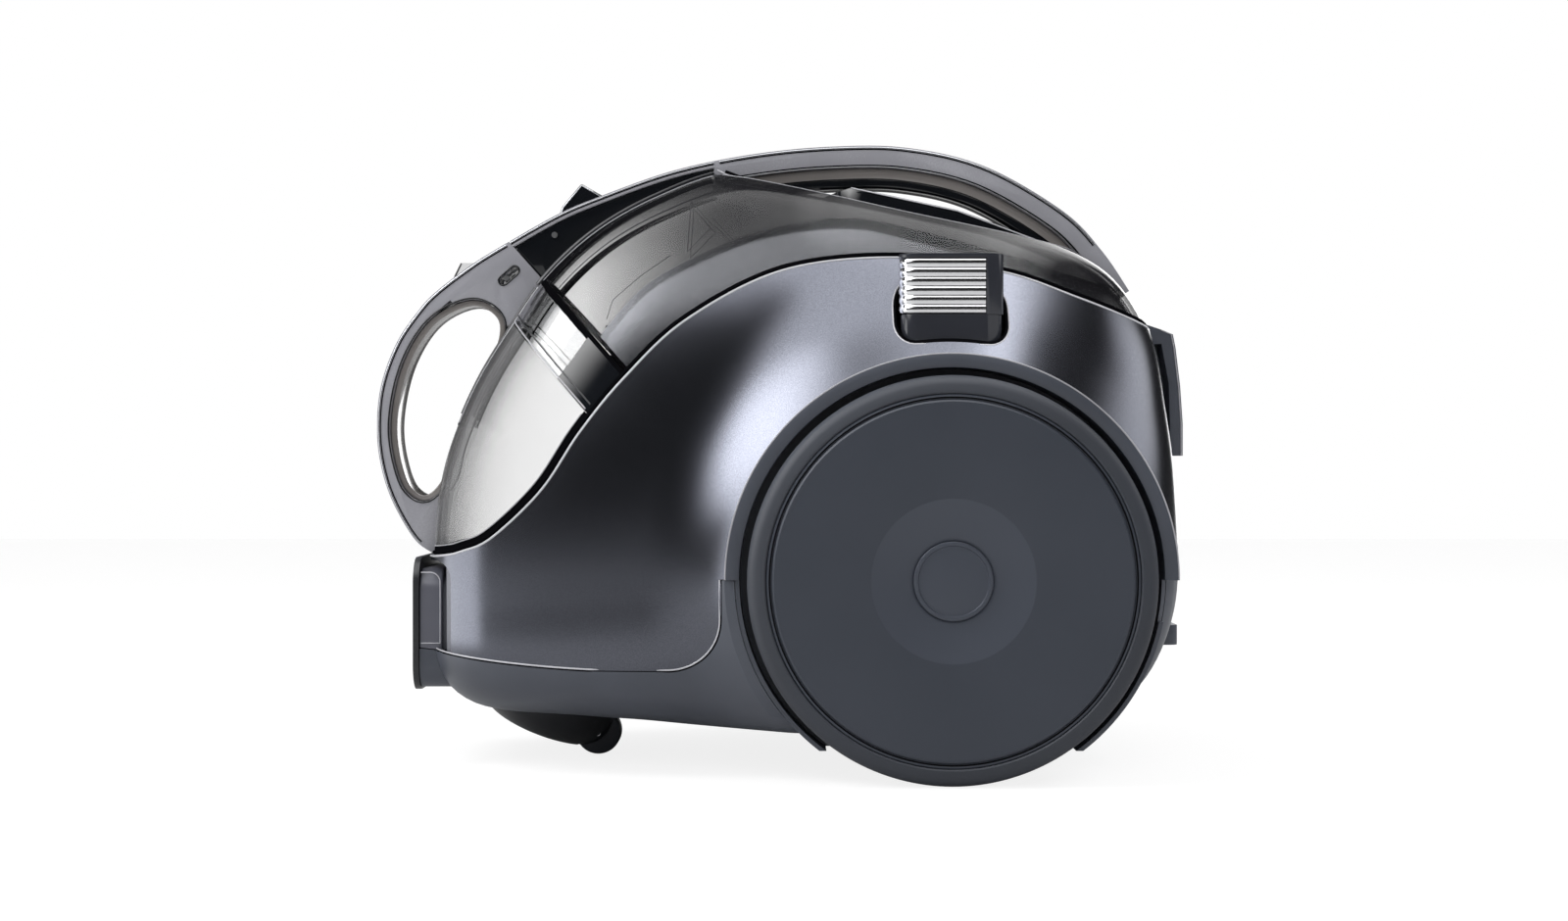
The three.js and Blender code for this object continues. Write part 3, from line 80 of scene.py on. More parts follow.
body_half_width = 113.0
body_fullness = 2.6
body_outline = [
    (193.8, 140), (191, 178), (184.8, 220), (166, 250), (124, 272), (70, 287.5), (20, 299.5), (-27, 303.6),
    (-66, 290), (-97, 271.6), (-122, 247.8), (-141, 220), (-155, 197), (-166, 173), (-174, 148),
    (-178, 120), (-178, 80), (-174, 47), (-158, 31), (-100, 24), (0, 20), (90, 18), (142, 23),
    (174, 42), (192, 78),
]
well_radius = 100.0
well_outer_radius = 102.0
lip_outer_radius = 107.0
lip_thickness = 2.0
lip_y = 127.0
flare_slope = 0.9
flare_blend = 7.0
shading_blend = 17.0
form_tolerance = 0.06
well_floor_y = 101.5
liner_foot_z = 15.5

housing_wall = 2.6
chassis_wall = 3.0
cover_inset = 1.8
cover_wall = 2.4
inner_skin = cover_inset + cover_wall

shoulder_curve = [
    (-230, 99), (-171.6, 105.4), (-155.8, 108.6), (-140.2, 115.6), (-115.7, 138.5), (-96.8, 166.7),
    (-75.6, 192.6), (-45.2, 221.1), (2, 245.3), (59.5, 252.1), (109.6, 244.9), (145.6, 232.5),
    (180.2, 219.9), (235, 200),
]
sill_front_z = 59.0
sill_middle_z = 51.5
sill_step_x = -27.5
sill_radius = 26.0
seam_top = (-139.5, 265.5)
seam_direction = (0.664, -0.748)
collar_depth = 25.5
flat_start = (-21, 295.6)
flat_slope = -0.2165

handle_half_width = 17.0
grip_half_width = 13.0
spine_thickness = 3.6
carry_band = 11.2
carry_grip = 9.4
bin_band = 8.0
bin_grip = 3.2
handle_crest = [
    (-139.5, 265.5), (-116.7, 278.4), (-96.5, 287.3), (-56.1, 301.7), (-15.7, 310.2), (24.7, 314.3),
    (65.2, 313.8), (105.6, 304.2), (146, 281), (166.2, 260.2), (179.9, 240),
]
carry_start_x, carry_grip_end_x = -34.0, 165.0
bin_crest = [
    (-178.4, 104.6), (-188.5, 112.2), (-200.1, 132.4), (-206.2, 152.6), (-207.7, 172.8),
    (-205.2, 193), (-197.6, 213.2), (-187.5, 228.4), (-177.4, 239.5), (-157.2, 254.7), (-139.5, 265.5),
]
loop_outline = [
    (-198, 173), (-196, 152.6), (-190.5, 138.5), (-183.5, 134.6), (-175.5, 141.5), (-169.3, 162.7),
    (-157.1, 193.1), (-146, 213.4), (-145.8, 225.5), (-157, 232.5), (-176.4, 225), (-190.9, 204.3),
]
far = 400.0


# ---------------------------------------------------------------- finishes
class Value:
    """A number that changes over a surface. Arithmetic on it adds Math nodes."""

    def __init__(self, finish, socket):
        self.finish = finish
        self.socket = socket

    def math(self, operation, *inputs, clamp=False):
        settings = {"operation": operation, "use_clamp": clamp}
        return self.finish.add("ShaderNodeMath", settings, dict(enumerate(inputs)))

    def __add__(self, other):
        return self.math("ADD", self, other)

    __radd__ = __add__

    def __sub__(self, other):
        return self.math("SUBTRACT", self, other)

    def __rsub__(self, other):
        return self.math("SUBTRACT", other, self)

    def __mul__(self, other):
        return self.math("MULTIPLY", self, other)

    __rmul__ = __mul__

    def step(self, edge, width):
        """0 below the edge and 1 above it, with a soft change of that width."""
        return self.math("MULTIPLY", self - (edge - width / 2), 1 / width, clamp=True)


class Nodes:
    """A node tree; its nodes come from add()."""

    def __init__(self, tree):
        self.tree = tree

    def add(self, kind, settings=None, inputs=None, output=0):
        node = self.tree.nodes.new(kind)
        for key, value in (settings or {}).items():
            setattr(node, key, value)
        for key, value in (inputs or {}).items():
            self.connect(node.inputs[key], value)
        return Value(self, node.outputs[output]) if node.outputs else None

    def connect(self, socket, value):
        if isinstance(value, Value):
            self.tree.links.new(value.socket, socket)
        elif socket.type == "RGBA" and len(value) == 3:
            socket.default_value = (*value, 1)
        else:
            socket.default_value = value


class Finish(Nodes):
    """A material with one Principled shader."""

    def __init__(self, name, **constants):
        self.material = bpy.data.materials.new(name)
        self.material.use_nodes = True
        super().__init__(self.material.node_tree)
        self.shader = self.tree.nodes["Principled BSDF"]
        for key, value in constants.items():
            self.feed(key.replace("_", " ").title(), value)

    def feed(self, name, value):
        names = {"Ior": "IOR", "Specular": "Specular IOR Level", "Transmission": "Transmission Weight"}
        self.connect(self.shader.inputs[names.get(name, name)], value)

    def place(self):
        return self.add("ShaderNodeTexCoord", output="Object")

    def axis(self, name):
        return self.add("ShaderNodeSeparateXYZ", None, {0: self.place()}, output=name)

    def facing(self):
        """0 where a face is seen square on, and 1 along its edge."""
        return self.add("ShaderNodeLayerWeight", None, {"Blend": 0.5}, output="Facing")

    def noise(self, scale, detail=4.0, roughness=0.55, stretch=(1, 1, 1)):
        """Noise of about scale metres, as a number round 0.5."""
        mapped = self.add("ShaderNodeMapping", None, {0: self.place(), 3: stretch})
        return self.add("ShaderNodeTexNoise", None, {
            "Vector": mapped, "Scale": 1 / scale, "Detail": detail, "Roughness": roughness})

    def blend(self, factor, first, second):
        """Colour between the two; factor 0 gives the first."""
        settings = {"data_type": "RGBA", "clamp_factor": True}
        return self.add("ShaderNodeMix", settings, {0: factor, 6: first, 7: second}, output=2)

    def bump(self, height, depth):
        inputs = {"Height": height, "Distance": depth, "Strength": 1.0}
        self.feed("Normal", self.add("ShaderNodeBump", None, inputs))


def shades(colour, change):
    """The colour darker and lighter by that share."""
    return tuple(c * (1 - change) for c in colour), tuple(c * (1 + change) for c in colour)


def moulded(finish, cloud, fine, colour, roughness, depth=0.00002):
    """Plastic with a fine spark-eroded grain and a slight change of gloss."""
    finish.feed("Base Color", colour)
    finish.feed("Roughness", roughness + (cloud - 0.5) * 0.12 + (fine - 0.5) * 0.1)
    finish.bump(fine, depth)
    return finish.material


def grained(name, colour, roughness, grain=0.0004, depth=0.00002, **constants):
    finish = Finish(name, **constants)
    cloud, fine = finish.noise(0.05, 3), finish.noise(grain, 2, 0.7)
    colour = finish.blend(cloud.step(0.5, 0.5), *shades(colour, 0.12))
    return moulded(finish, cloud, fine, colour, roughness, depth)


def wheel_plastic():
    """The wheel's grained plastic, with painted light: a shade lighter in the shallow dish round the hub, where
    light falls on its slope.
    """
    finish = Finish("wheel_plastic")
    cloud, fine = finish.noise(0.05, 3), finish.noise(0.0004, 2, 0.7)
    x, z = finish.axis("X") - (axle_x + frame_shift) * MM, finish.axis("Z") - axle_z * MM
    square = x * x + z * z
    # Painted light: the dish round the hub gets the lighter colour.
    dish = 1 - square.math("SQRT", square).step(dish_radius * MM, 0.0006)
    plain = finish.blend(cloud.step(0.5, 0.5), (0.032, 0.038, 0.052), (0.036, 0.042, 0.057))
    return moulded(finish, cloud, fine, finish.blend(dish, plain, (0.045, 0.052, 0.070)), 0.46)


def lacquer():
    """Gunmetal metallic lacquer on the housing, with fine flakes."""
    finish = Finish("gunmetal_lacquer", specular=0.5)
    flakes, cloud = finish.noise(0.0005, 2, 0.8), finish.noise(0.08, 2)
    colour = finish.blend(flakes.step(0.55, 0.5), (0.082, 0.086, 0.103), (0.142, 0.148, 0.173))
    finish.feed("Base Color", colour)
    finish.feed("Metallic", 0.98 + (flakes - 0.5) * 0.04)
    finish.feed("Roughness", 0.225 + (cloud - 0.5) * 0.05)
    finish.bump(flakes, 0.000002)
    return finish.material


def satin_lacquer():
    """The shroud's paint: the same colour without flakes."""
    finish = Finish("satin_gunmetal", specular=0.5)
    cloud = finish.noise(0.06, 3)
    finish.feed("Base Color", finish.blend(cloud, (0.085, 0.087, 0.094), (0.115, 0.118, 0.127)))
    finish.feed("Metallic", 0.9 + (cloud - 0.5) * 0.1)
    finish.feed("Roughness", 0.22 + (cloud - 0.5) * 0.04)
    return finish.material


def clear_plastic(name, tint, edge_tint):
    """Polished see-through plastic, darker where it is seen along its wall."""
    finish = Finish(name, transmission=1.0, ior=1.45)
    fine, facing = finish.noise(0.02, 3), finish.facing()
    slanted = facing.math("POWER", facing, 2.2)
    finish.feed("Base Color", finish.blend(slanted + (fine - 0.5) * 0.06, tint, edge_tint))
    finish.feed("Roughness", 0.015 + (fine - 0.5) * 0.01)
    return finish.material


def smoked_plastic(name, front_cover, rear_cover, change, colour=(0.014, 0.014, 0.016), edge=(5.0, 0.7),
                   specular=0.18):
    """Thin smoked plastic: how much each face hides what lies behind it.
    change = (front x, rear x) in metres, over which front_cover turns into rear_cover.
    edge = (power, share) of the darkening where a face is seen along its wall."""
    finish = Finish(name, specular=specular)
    fine = finish.noise(0.02, 3)
    start, end = change
    share = finish.axis("X").step((start + end) / 2, end - start)
    facing = finish.facing()
    hidden = front_cover + share * (rear_cover - front_cover) + (fine - 0.5) * 0.02
    finish.feed("Alpha", hidden + facing.math("POWER", facing, edge[0]) * (1 - hidden) * edge[1])
    finish.feed("Base Color", finish.blend(fine, *shades(colour, 0.15)))
    finish.feed("Roughness", 0.03 + (fine - 0.5) * 0.02)
    return finish.material


def metal(name, colour, roughness, grain_stretch):
    """Bare or plated metal with a faint drawn grain."""
    finish = Finish(name, metallic=1.0)
    lines = finish.noise(0.0015, 3, 0.6, grain_stretch)
    finish.feed("Base Color", finish.blend(lines.step(0.5, 0.6), shades(colour, 0.15)[0], colour))
    finish.feed("Roughness", roughness + (lines - 0.5) * 0.1)
    return finish.material


# ---------------------------------------------------------------- curves in side view
def spline(points, count, closed=False, power=0.0):
    """Catmull-Rom curve through the points, as evenly spaced places; power 0.5 suits uneven points better."""
    p = np.array(points, float)
    n = len(p)
    dense = []
    for i in range(n if closed else n - 1):
        p0, p1, p2, p3 = (p[k % n if closed else min(max(k, 0), n - 1)] for k in range(i - 1, i + 3))
        d0, d1, d2 = (max(np.linalg.norm(b - a), 1e-9) ** power for a, b in ((p0, p1), (p1, p2), (p2, p3)))
        leave = ((p1 - p0) / d0 - (p2 - p0) / (d0 + d1) + (p2 - p1) / d1) * d1
        arrive = ((p2 - p1) / d1 - (p3 - p1) / (d1 + d2) + (p3 - p2) / d2) * d1
        for t in np.linspace(0, 1, 24, endpoint=False):
            a, b = 2 * t**3 - 3 * t**2 + 1, t**3 - 2 * t**2 + t
            c, d = -2 * t**3 + 3 * t**2, t**3 - t**2
            dense.append(a * p1 + b * leave + c * p2 + d * arrive)
    dense = np.array([*dense, p[0] if closed else p[-1]])
    run = np.concatenate([[0], np.cumsum(np.linalg.norm(np.diff(dense, axis=0), axis=1))])
    places = np.linspace(0, run[-1], count, endpoint=not closed)
    return np.stack([np.interp(places, run, dense[:, k]) for k in (0, 1)], axis=1)


def offset(line, distance, closed=False):
    """The line moved to the left of its direction of travel."""
    line = np.asarray(line, float)
    if closed:
        ahead, behind = np.roll(line, -1, axis=0), np.roll(line, 1, axis=0)
    else:
        ahead = np.vstack([line[1:], line[-1:]])
        behind = np.vstack([line[:1], line[:-1]])
    along = ahead - behind
    along /= np.linalg.norm(along, axis=1, keepdims=True)
    return line + distance * np.stack([-along[:, 1], along[:, 0]], axis=1)


def arc(centre, radius, start, end, steps):
    angles = np.radians(np.linspace(start, end, steps + 1))
    return [(centre[0] + radius * math.cos(a), centre[1] + radius * math.sin(a)) for a in angles]


def rounded(u0, u1, v0, v1, radius, steps=8, margin=0):
    """A rectangle with round corners, grown by the margin."""
    u0, u1, v0, v1, radius = u0 - margin, u1 + margin, v0 - margin, v1 + margin, radius + margin
    corners = [(u1 - radius, v0 + radius, -90), (u1 - radius, v1 - radius, 0),
               (u0 + radius, v1 - radius, 90), (u0 + radius, v0 + radius, 180)]
    return [point for u, v, turn in corners for point in arc((u, v), radius, turn, turn + 90, steps)]


# ---------------------------------------------------------------- meshes
def mesh_object(name, vertices, faces):
    """An object from millimetre corners in the drawing's frame."""
    mesh = bpy.data.meshes.new(name)
    moved = (np.asarray(vertices, float) + [frame_shift, 0, 0]) * MM
    mesh.from_pydata(moved.tolist(), [], faces)
    mesh.update()
    piece = bpy.data.objects.new(name, mesh)
    bpy.context.scene.collection.objects.link(piece)
    return piece


def edit(piece, step):
    """Runs one step on the piece's mesh."""
    work = bmesh.new()
    work.from_mesh(piece.data)
    step(work)
    work.to_mesh(piece.data)
    work.free()
    return piece


def outwards(piece):
    return edit(piece, lambda work: bmesh.ops.recalc_face_normals(work, faces=work.faces))


def extruded(outline, to_place, low_end, high_end, name="slab"):
    """A plane outline (u, v) given thickness; to_place(u, v, w) says where a corner lies."""
    n = len(outline)
    corners = [to_place(u, v, w) for w in (low_end, high_end) for u, v in outline]
    sides = [(i, (i + 1) % n, n + (i + 1) % n, n + i) for i in range(n)]
    faces = [tuple(range(n)), tuple(range(2 * n - 1, n - 1, -1))] + sides
    return outwards(mesh_object(name, corners, faces))


def side_slab(outline, half=far, name="slab"):
    """A side-view outline made solid from -half to half, or between two y."""
    low_y, high_y = half if isinstance(half, list) else (-half, half)
    return extruded(outline, lambda u, v, w: (u, w, v), low_y, high_y, name)


def plan_slab(outline, z0, z1, name="slab"):
    return extruded(outline, lambda u, v, w: (u, v, w), z0, z1, name)


def front_slab(outline, x0, x1, name="slab"):
    return extruded(outline, lambda u, v, w: (w, u, v), x0, x1, name)


def block(x0, x1, half=far, z0=0, z1=far):
    return side_slab([(x0, z0), (x1, z0), (x1, z1), (x0, z1)], half)


def turned(profile, axis, centre, segments=96, name="turned"):
    """A closed ring of (radius, height) turned round an axis through the centre (mm)."""
    n = len(profile)
    corners, faces = [], []
    for k in range(segments):
        turn = 2 * math.pi * k / segments
        for radius, height in profile:
            c, s = radius * math.cos(turn), radius * math.sin(turn)
            spot = {"X": (height, c, s), "Y": (c, height, s), "Z": (c, s, height)}[axis]
            corners.append([p + q for p, q in zip(spot, centre)])
        a, b = k * n, ((k + 1) % segments) * n
        faces += [(a + i, a + (i + 1) % n, b + (i + 1) % n, b + i) for i in range(n)]
    piece = mesh_object(name, corners, faces)
    return outwards(edit(piece, lambda work: bmesh.ops.remove_doubles(work, verts=work.verts, dist=1e-7)))


def axle_ring(profile, side, segments=192, name="ring"):
    """A ring round the wheels' axle, its heights running outwards on that side."""
    return turned([(r, side * h) for r, h in profile], "Y", (axle_x, 0, axle_z), segments, name)


def rod(radius, start, end):
    return [(0, start), (radius, start), (radius, end), (0, end)]


def carve(piece, operation, *cutters, keep=False):
    """Booleans of closed meshes, written into the first."""
    for cutter in cutters:
        modifier = piece.modifiers.new("carve", "BOOLEAN")
        modifier.operation = operation
        modifier.object = cutter
        modifier.solver = "MANIFOLD"
        settle(piece)
        if not keep:
            bpy.data.objects.remove(cutter)
    return piece


def common(piece, *others):
    return carve(piece, "INTERSECT", *others)


def cut(piece, *others):
    return carve(piece, "DIFFERENCE", *others)


def join(piece, *others):
    return carve(piece, "UNION", *others)


def settle(piece):
    """Applies the piece's modifiers to its mesh."""
    bpy.context.view_layer.update()
    seen = piece.evaluated_get(bpy.context.evaluated_depsgraph_get())
    mesh = bpy.data.meshes.new_from_object(seen)
    piece.modifiers.clear()
    piece.data = mesh
    return piece


def bevelled(piece, width, segments=2, angle=32):
    """Rounds the piece's sharp edges; width in millimetres."""
    edit(piece, lambda work: bmesh.ops.dissolve_limit(
        work, angle_limit=math.radians(0.5), verts=work.verts, edges=work.edges))
    modifier = piece.modifiers.new("rounding", "BEVEL")
    modifier.width = width * MM
    modifier.segments = segments
    modifier.limit_method = "ANGLE"
    modifier.angle_limit = math.radians(angle)
    modifier.harden_normals = False
    return settle(piece)


def inside_box(piece):
    """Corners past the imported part's box, by a rounding of its curves, go back to the box."""
    for corner in piece.data.vertices:
        corner.co = [min(max(v, low), high) for v, low, high in zip(corner.co, *cad_box)]
    return piece


def smooth(piece, angle=30):
    """Smooth shading with sharp edges beyond the angle."""
    piece.data.shade_smooth()
    piece.data.set_sharp_from_angle(angle=math.radians(angle))
    return piece


def soft(piece, width, segments=2, angle=32, sharp=30):
    """A piece with rounded edges, shaded smooth."""
    return smooth(inside_box(bevelled(piece, width, segments, angle)), sharp)


# ---------------------------------------------------------------- body form
def polar(x, z):
    """Angle and distance from the wheels' axle in side view."""
    return np.arctan2(z - axle_z, x - axle_x), np.hypot(x - axle_x, z - axle_z)


dense_angle, outline_reach = polar(*spline(body_outline, 1440, closed=True, power=0.5).T)
outline_angle = np.unwrap(dense_angle)


def reach_at(angle):
    turn = np.mod(np.asarray(angle) - outline_angle[0], 2 * math.pi) + outline_angle[0]
    return np.interp(turn, outline_angle, outline_reach, period=2 * math.pi)


def room_at(x, z):
    """How far a side-view place lies inside the body's outline, along its spoke."""
    angle, distance = polar(x, z)
    return reach_at(angle) - distance


def half_width(cosine, sine, reach, distance, blend=flare_blend):
    """Half width of the body at a distance from the wheel axis along one spoke of the outline."""
    share = np.minimum(1, distance / reach)
    tail = np.where(cosine > 0, 1.5, 0.9) * cosine**2
    floor = np.where(sine < 0, 4 * sine**2, 0)
    power = body_fullness + tail + floor
    plain = body_half_width * (1 - share**power) ** (1 / power)
    fall = flare_slope * np.maximum(0, distance - lip_outer_radius)
    flare = (lip_y - fall) * (1 - share**8) ** (1 / 8)
    share = np.maximum(0, blend - np.abs(plain - flare)) / blend
    return np.maximum(plain, flare) + share**2 * blend / 4


def surface_y(points, inset):
    """Half width of the body's surface, moved inwards by inset, at places in side view."""
    angle, distance = polar(*np.asarray(points, float).T)
    reach = reach_at(angle)
    narrow = (body_half_width - inset) / body_half_width
    return narrow * half_width(np.cos(angle), np.sin(angle), reach, distance * reach / (reach - inset))


form_spokes, form_rings = 220, 52


def body_form(inset, name="form", blend=flare_blend):
    """The whole body as a closed mesh, its surface moved inwards by inset."""
    line = spline(body_outline, form_spokes, closed=True, power=0.5)
    reach = polar(*line.T)[1]
    cosine, sine = (line[:, 0] - axle_x) / reach, (line[:, 1] - axle_z) / reach
    arch = np.minimum(lip_outer_radius, 0.86 * reach)
    ease = (1 - np.cos(np.pi * np.arange(1, form_rings) / form_rings)) / 2
    distances = [0.5 * arch, arch] + [arch + share * (reach - arch) for share in ease]
    scale = (reach - inset) / reach
    narrow = (body_half_width - inset) / body_half_width
    corners = [(axle_x, -narrow * body_half_width, axle_z)]
    for side, distance in [*((-1, d) for d in distances), (0, reach), *((1, d) for d in reversed(distances))]:
        y = side * narrow * half_width(cosine, sine, reach, distance, blend)
        corners += zip(axle_x + cosine * distance * scale, y, axle_z + sine * distance * scale)
    corners.append((axle_x, narrow * body_half_width, axle_z))
    starts = range(1, len(corners) - 1, form_spokes)
    faces = []
    for i in range(form_spokes):
        j = (i + 1) % form_spokes
        faces.append((0, starts[0] + i, starts[0] + j))
        faces += [(a + i, b + i, b + j, a + j) for a, b in zip(starts, starts[1:])]
        faces.append((len(corners) - 1, starts[-1] + j, starts[-1] + i))
    return outwards(mesh_object(name, corners, faces))


def follow_form(piece, insets=(cover_inset, inner_skin)):
    """Shading of the faces that lie on the body's form at one of the insets comes from the form itself,
    with a softer hollow between the body's side and the arch."""
    mesh = smooth(piece, 25).data
    normals = [corner.vector.copy() for corner in mesh.corner_normals]
    for inset in insets:
        form, hollow = body_form(inset), body_form(inset, blend=shading_blend)
        form.data.calc_loop_triangles()
        places = [v.co.copy() for v in form.data.vertices]
        ways = [v.vector.copy() for v in hollow.data.vertex_normals]
        triangles = [tuple(t.vertices) for t in form.data.loop_triangles]
        for helper in (form, hollow):
            bpy.data.objects.remove(helper)
        tree = BVHTree.FromPolygons(places, triangles)
        for face in mesh.polygons:
            _, way, _, gap = tree.find_nearest(face.center)
            if gap > form_tolerance * MM or abs(way.dot(face.normal)) < 0.9:
                continue
            side = 1 if way.dot(face.normal) > 0 else -1
            for loop in face.loop_indices:
                spot, _, index, _ = tree.find_nearest(mesh.vertices[mesh.loops[loop].vertex_index].co)
                a, b, c = triangles[index]
                way = barycentric_transform(spot, places[a], places[b], places[c], ways[a], ways[b], ways[c])
                normals[loop] = side * way.normalized()
    mesh.normals_split_custom_set(normals)
    return piece


# ---------------------------------------------------------------- regions of the side view
shoulder = spline(shoulder_curve, 160)


def above(line):
    """Everything over a side-view line."""
    return side_slab([*line, (far, far), (-far, far)])


def below(line):
    return side_slab([*line, (far, -far), (-far, -far)])


def above_shoulder(lift):
    return above(offset(shoulder, lift))


def below_shoulder(drop):
    return below(offset(shoulder, -drop))


def shoulder_z(x):
    return np.interp(x, shoulder[:, 0], shoulder[:, 1])


def sill(shift):
    """The sill's line from the front to the tail, moved up by shift."""
    pull = [(-184.0, sill_front_z), (-150, sill_front_z - 4),
            (-120, sill_middle_z + 1), (-91.8, sill_middle_z)]
    line = [(-far, sill_front_z + shift)]
    for t in np.linspace(0, 1, 24):
        weights = [(1 - t) ** 3, 3 * t * (1 - t) ** 2, 3 * t**2 * (1 - t), t**3]
        x, z = (sum(w * p[k] for w, p in zip(weights, pull)) for k in (0, 1))
        line.append((x, z + shift))
    centre = (sill_step_x - sill_radius - shift, sill_middle_z + sill_radius + shift)
    line += arc(centre, sill_radius, -90, 0, 16)
    return line + [(sill_step_x - shift, axle_z + shift), (far, axle_z + shift)]


def above_sill(lift):
    return above(sill(lift))


def below_sill(drop):
    return below(sill(-drop))


def seam_point(along, forward):
    dx, dz = seam_direction
    return (seam_top[0] + along * dx + forward * dz, seam_top[1] + along * dz - forward * dx)


def front_of_seam(shift, reach=far):
    corners = [(-far, shift), (far, shift), (far, shift + reach), (-far, shift + reach)]
    return side_slab([seam_point(*corner) for corner in corners])


def behind_seam(shift):
    return front_of_seam(shift, -far)


def flat_z(x):
    return flat_start[1] + flat_slope * (x - flat_start[0])


def below_flat(drop):
    return side_slab([(-far, -far), (far, -far), (far, flat_z(far) - drop), (-far, flat_z(-far) - drop)])


def well_space(margin, side):
    return axle_ring(rod(well_outer_radius + margin, well_floor_y - margin, far), side, 128)


# ---------------------------------------------------------------- dressing
def dress(piece, material, slot, *replaces, body="base"):
    """The piece's material, the body it rides on, and the CAD nodes that it replaces; the slot is not used."""
    piece.data.materials.clear()
    piece.data.materials.append(material)
    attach(piece, body)
    if replaces:
        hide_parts(*replaces)


gunmetal = lacquer()
shroud_grey = satin_lacquer()
slate = grained("slate_plastic", (0.062, 0.069, 0.088), 0.42)
wheel_grey = wheel_plastic()
tyre_grey = grained("tyre_rubber", (0.030, 0.034, 0.044), 0.6, grain=0.0008)
satin_black = grained("satin_black_plastic", (0.014, 0.015, 0.018), 0.38)
gloss_black = grained("gloss_black_plastic", (0.006, 0.007, 0.009), 0.07, depth=0.000002)
# A black without any reflection, for painted shade: in the parting gaps, the seam, grooves, and the pedal
# wells.
painted_shade_black = grained("painted_shade_black_plastic", (0.004, 0.004, 0.005), 0.7, specular=0.0)
pedal_black = grained("pedal_black_plastic", (0.030, 0.032, 0.040), 0.12, depth=0.000002)
bezel_grey = grained("bezel_plastic", (0.115, 0.118, 0.145), 0.35)
seal_black = grained("seal_rubber", (0.012, 0.012, 0.013), 0.7)
band_grey = grained(
    "handle_band_plastic", (0.35, 0.35, 0.385), 0.26, grain=0.0009, depth=0.00003, coat_weight=0.35)
grip_smoke = grained("smoked_grip_plastic", (0.25, 0.232, 0.222), 0.16, coat_weight=0.5)
fleece = grained("filter_fleece", (0.72, 0.72, 0.68), 0.95, grain=0.0012, depth=0.0004)
board_green = grained("circuit_board", (0.02, 0.11, 0.045), 0.4)
chrome = metal("pedal_chrome", (0.78, 0.78, 0.80), 0.16, (0.05, 1, 1))
# Silver lines: painted highlights on the handles' edges, and the release button's silver edge with its
# highlight painted on.
silver_edge_and_highlight = metal("silver_edge_and_highlight", (0.62, 0.63, 0.66), 0.3, (1, 1, 1))
# Pale lines of painted highlight along edges and rims.
painted_highlight_pale = grained("painted_highlight_pale_plastic", (0.62, 0.62, 0.66), 0.25)
# Grey lines of painted highlight along edges and creases, and on the ribs seen inside the cover.
painted_highlight_grey = grained("painted_highlight_grey_plastic", (0.42, 0.42, 0.45), 0.3)
steel = metal("drawn_steel", (0.56, 0.56, 0.58), 0.3, (1, 0.05, 1))
clear = clear_plastic("clear_polycarbonate", (0.7, 0.705, 0.71), (0.12, 0.12, 0.13))
clear_shell = smoked_plastic(
    "clear_bin_plastic", 0.07, 0.03, (-0.18, -0.09), (0.2, 0.2, 0.205), (2.2, 0.75), 0.35)
smoked_window = smoked_plastic("smoked_window", 0.02, 0.34, (-0.08, 0.14))
smoked_crown = smoked_plastic("smoked_crown", 0.08, 0.62, (-0.105, -0.02))


# ---------------------------------------------------------------- housing and chassis
pedal_start_x, pedal_end_x, pedal_face_end_x = 57.0, 106.8, 97.7
pedal_inner_y, pedal_outer_y, pedal_corner = 94.0, 119.0, 9.0
pedal_side_gap, pedal_well_wall = 1.2, 1.4
pedal_well_margin = pedal_side_gap + pedal_well_wall
pedal_well_floor_z = axle_z + well_outer_radius + 0.1 + pedal_well_wall
pedal_bottom_z = pedal_well_floor_z + 5.8
pedal_face_bottom_z = pedal_bottom_z + 16.4
pedal_top_z = pedal_bottom_z + 45.4
pedal_crown_z = pedal_top_z - 2
nose_x, nose_thickness = -184.0, 3.0
nose_half_width, nose_bottom_z, nose_top_z, nose_corner = 52.0, 37.0, 103.8, 13.0
nose_inset, nose_block_end_x, bezel_top_z, bezel_end_x = 1.2, -150.0, 99.5, -169.4
bezel_neck_inset, bezel_wall, bezel_flange = 4.0, 2.4, 2.6
nose_recess_x, nose_recess_top_z, nose_recess_radius = -162.3, 102.6, 9.0
inlet_z, hose_radius, socket_wall, socket_length, socket_flange_radius = 69.0, 17.5, 3.0, 36.0, 26.0
caster_x, caster_radius, caster_top_z, caster_bottom_z = -118.5, 34.5, 29.0, 4.2
caster_trail, caster_wheel_radius, caster_wheel_half, caster_lean = 24.0, 11.8, 7.0, 16.0
caster_stem_radius, caster_stem_top_z, caster_snap_radius, caster_snap_bottom_z = 6.0, 52.0, 9.0, 46.3
park_top_z, park_bottom_z, park_half_width, park_front_x, park_back_x = 222.6, 155.0, 30.0, 174.0, 205.4
park_deep_x, park_slot_half, park_slot_top_z, park_rib, park_lining = 190.0, 10.0, 212.0, 3.0, 2.0
grille_x, grille_half_width, grille_bottom_z, grille_top_z = 172.0, 42.0, 112.0, 152.0
rear_foot_start_x, rear_foot_end_x, rear_foot_half_width = 170.0, 200.0, 50.0
rear_foot_bottom_z, rear_foot_top_z, rear_foot_corner = 60.0, 70.0, 5.0


def pedal_plan(margin, side=1):
    plan = rounded(pedal_start_x, pedal_end_x, pedal_inner_y, pedal_outer_y, pedal_corner, margin=margin)
    return [(x, side * y) for x, y in plan]


def pedal_pocket(side):
    plan = pedal_plan(pedal_well_margin + seat, side)
    return plan_slab(plan, pedal_well_floor_z - pedal_well_wall - seat, pedal_top_z + 20)


def nose_block(margin, end_x, start=seat):
    outline = rounded(-nose_half_width, nose_half_width, nose_bottom_z, bezel_top_z, nose_corner, 16, -margin)
    return front_slab(outline, nose_x + nose_thickness + start, end_x)


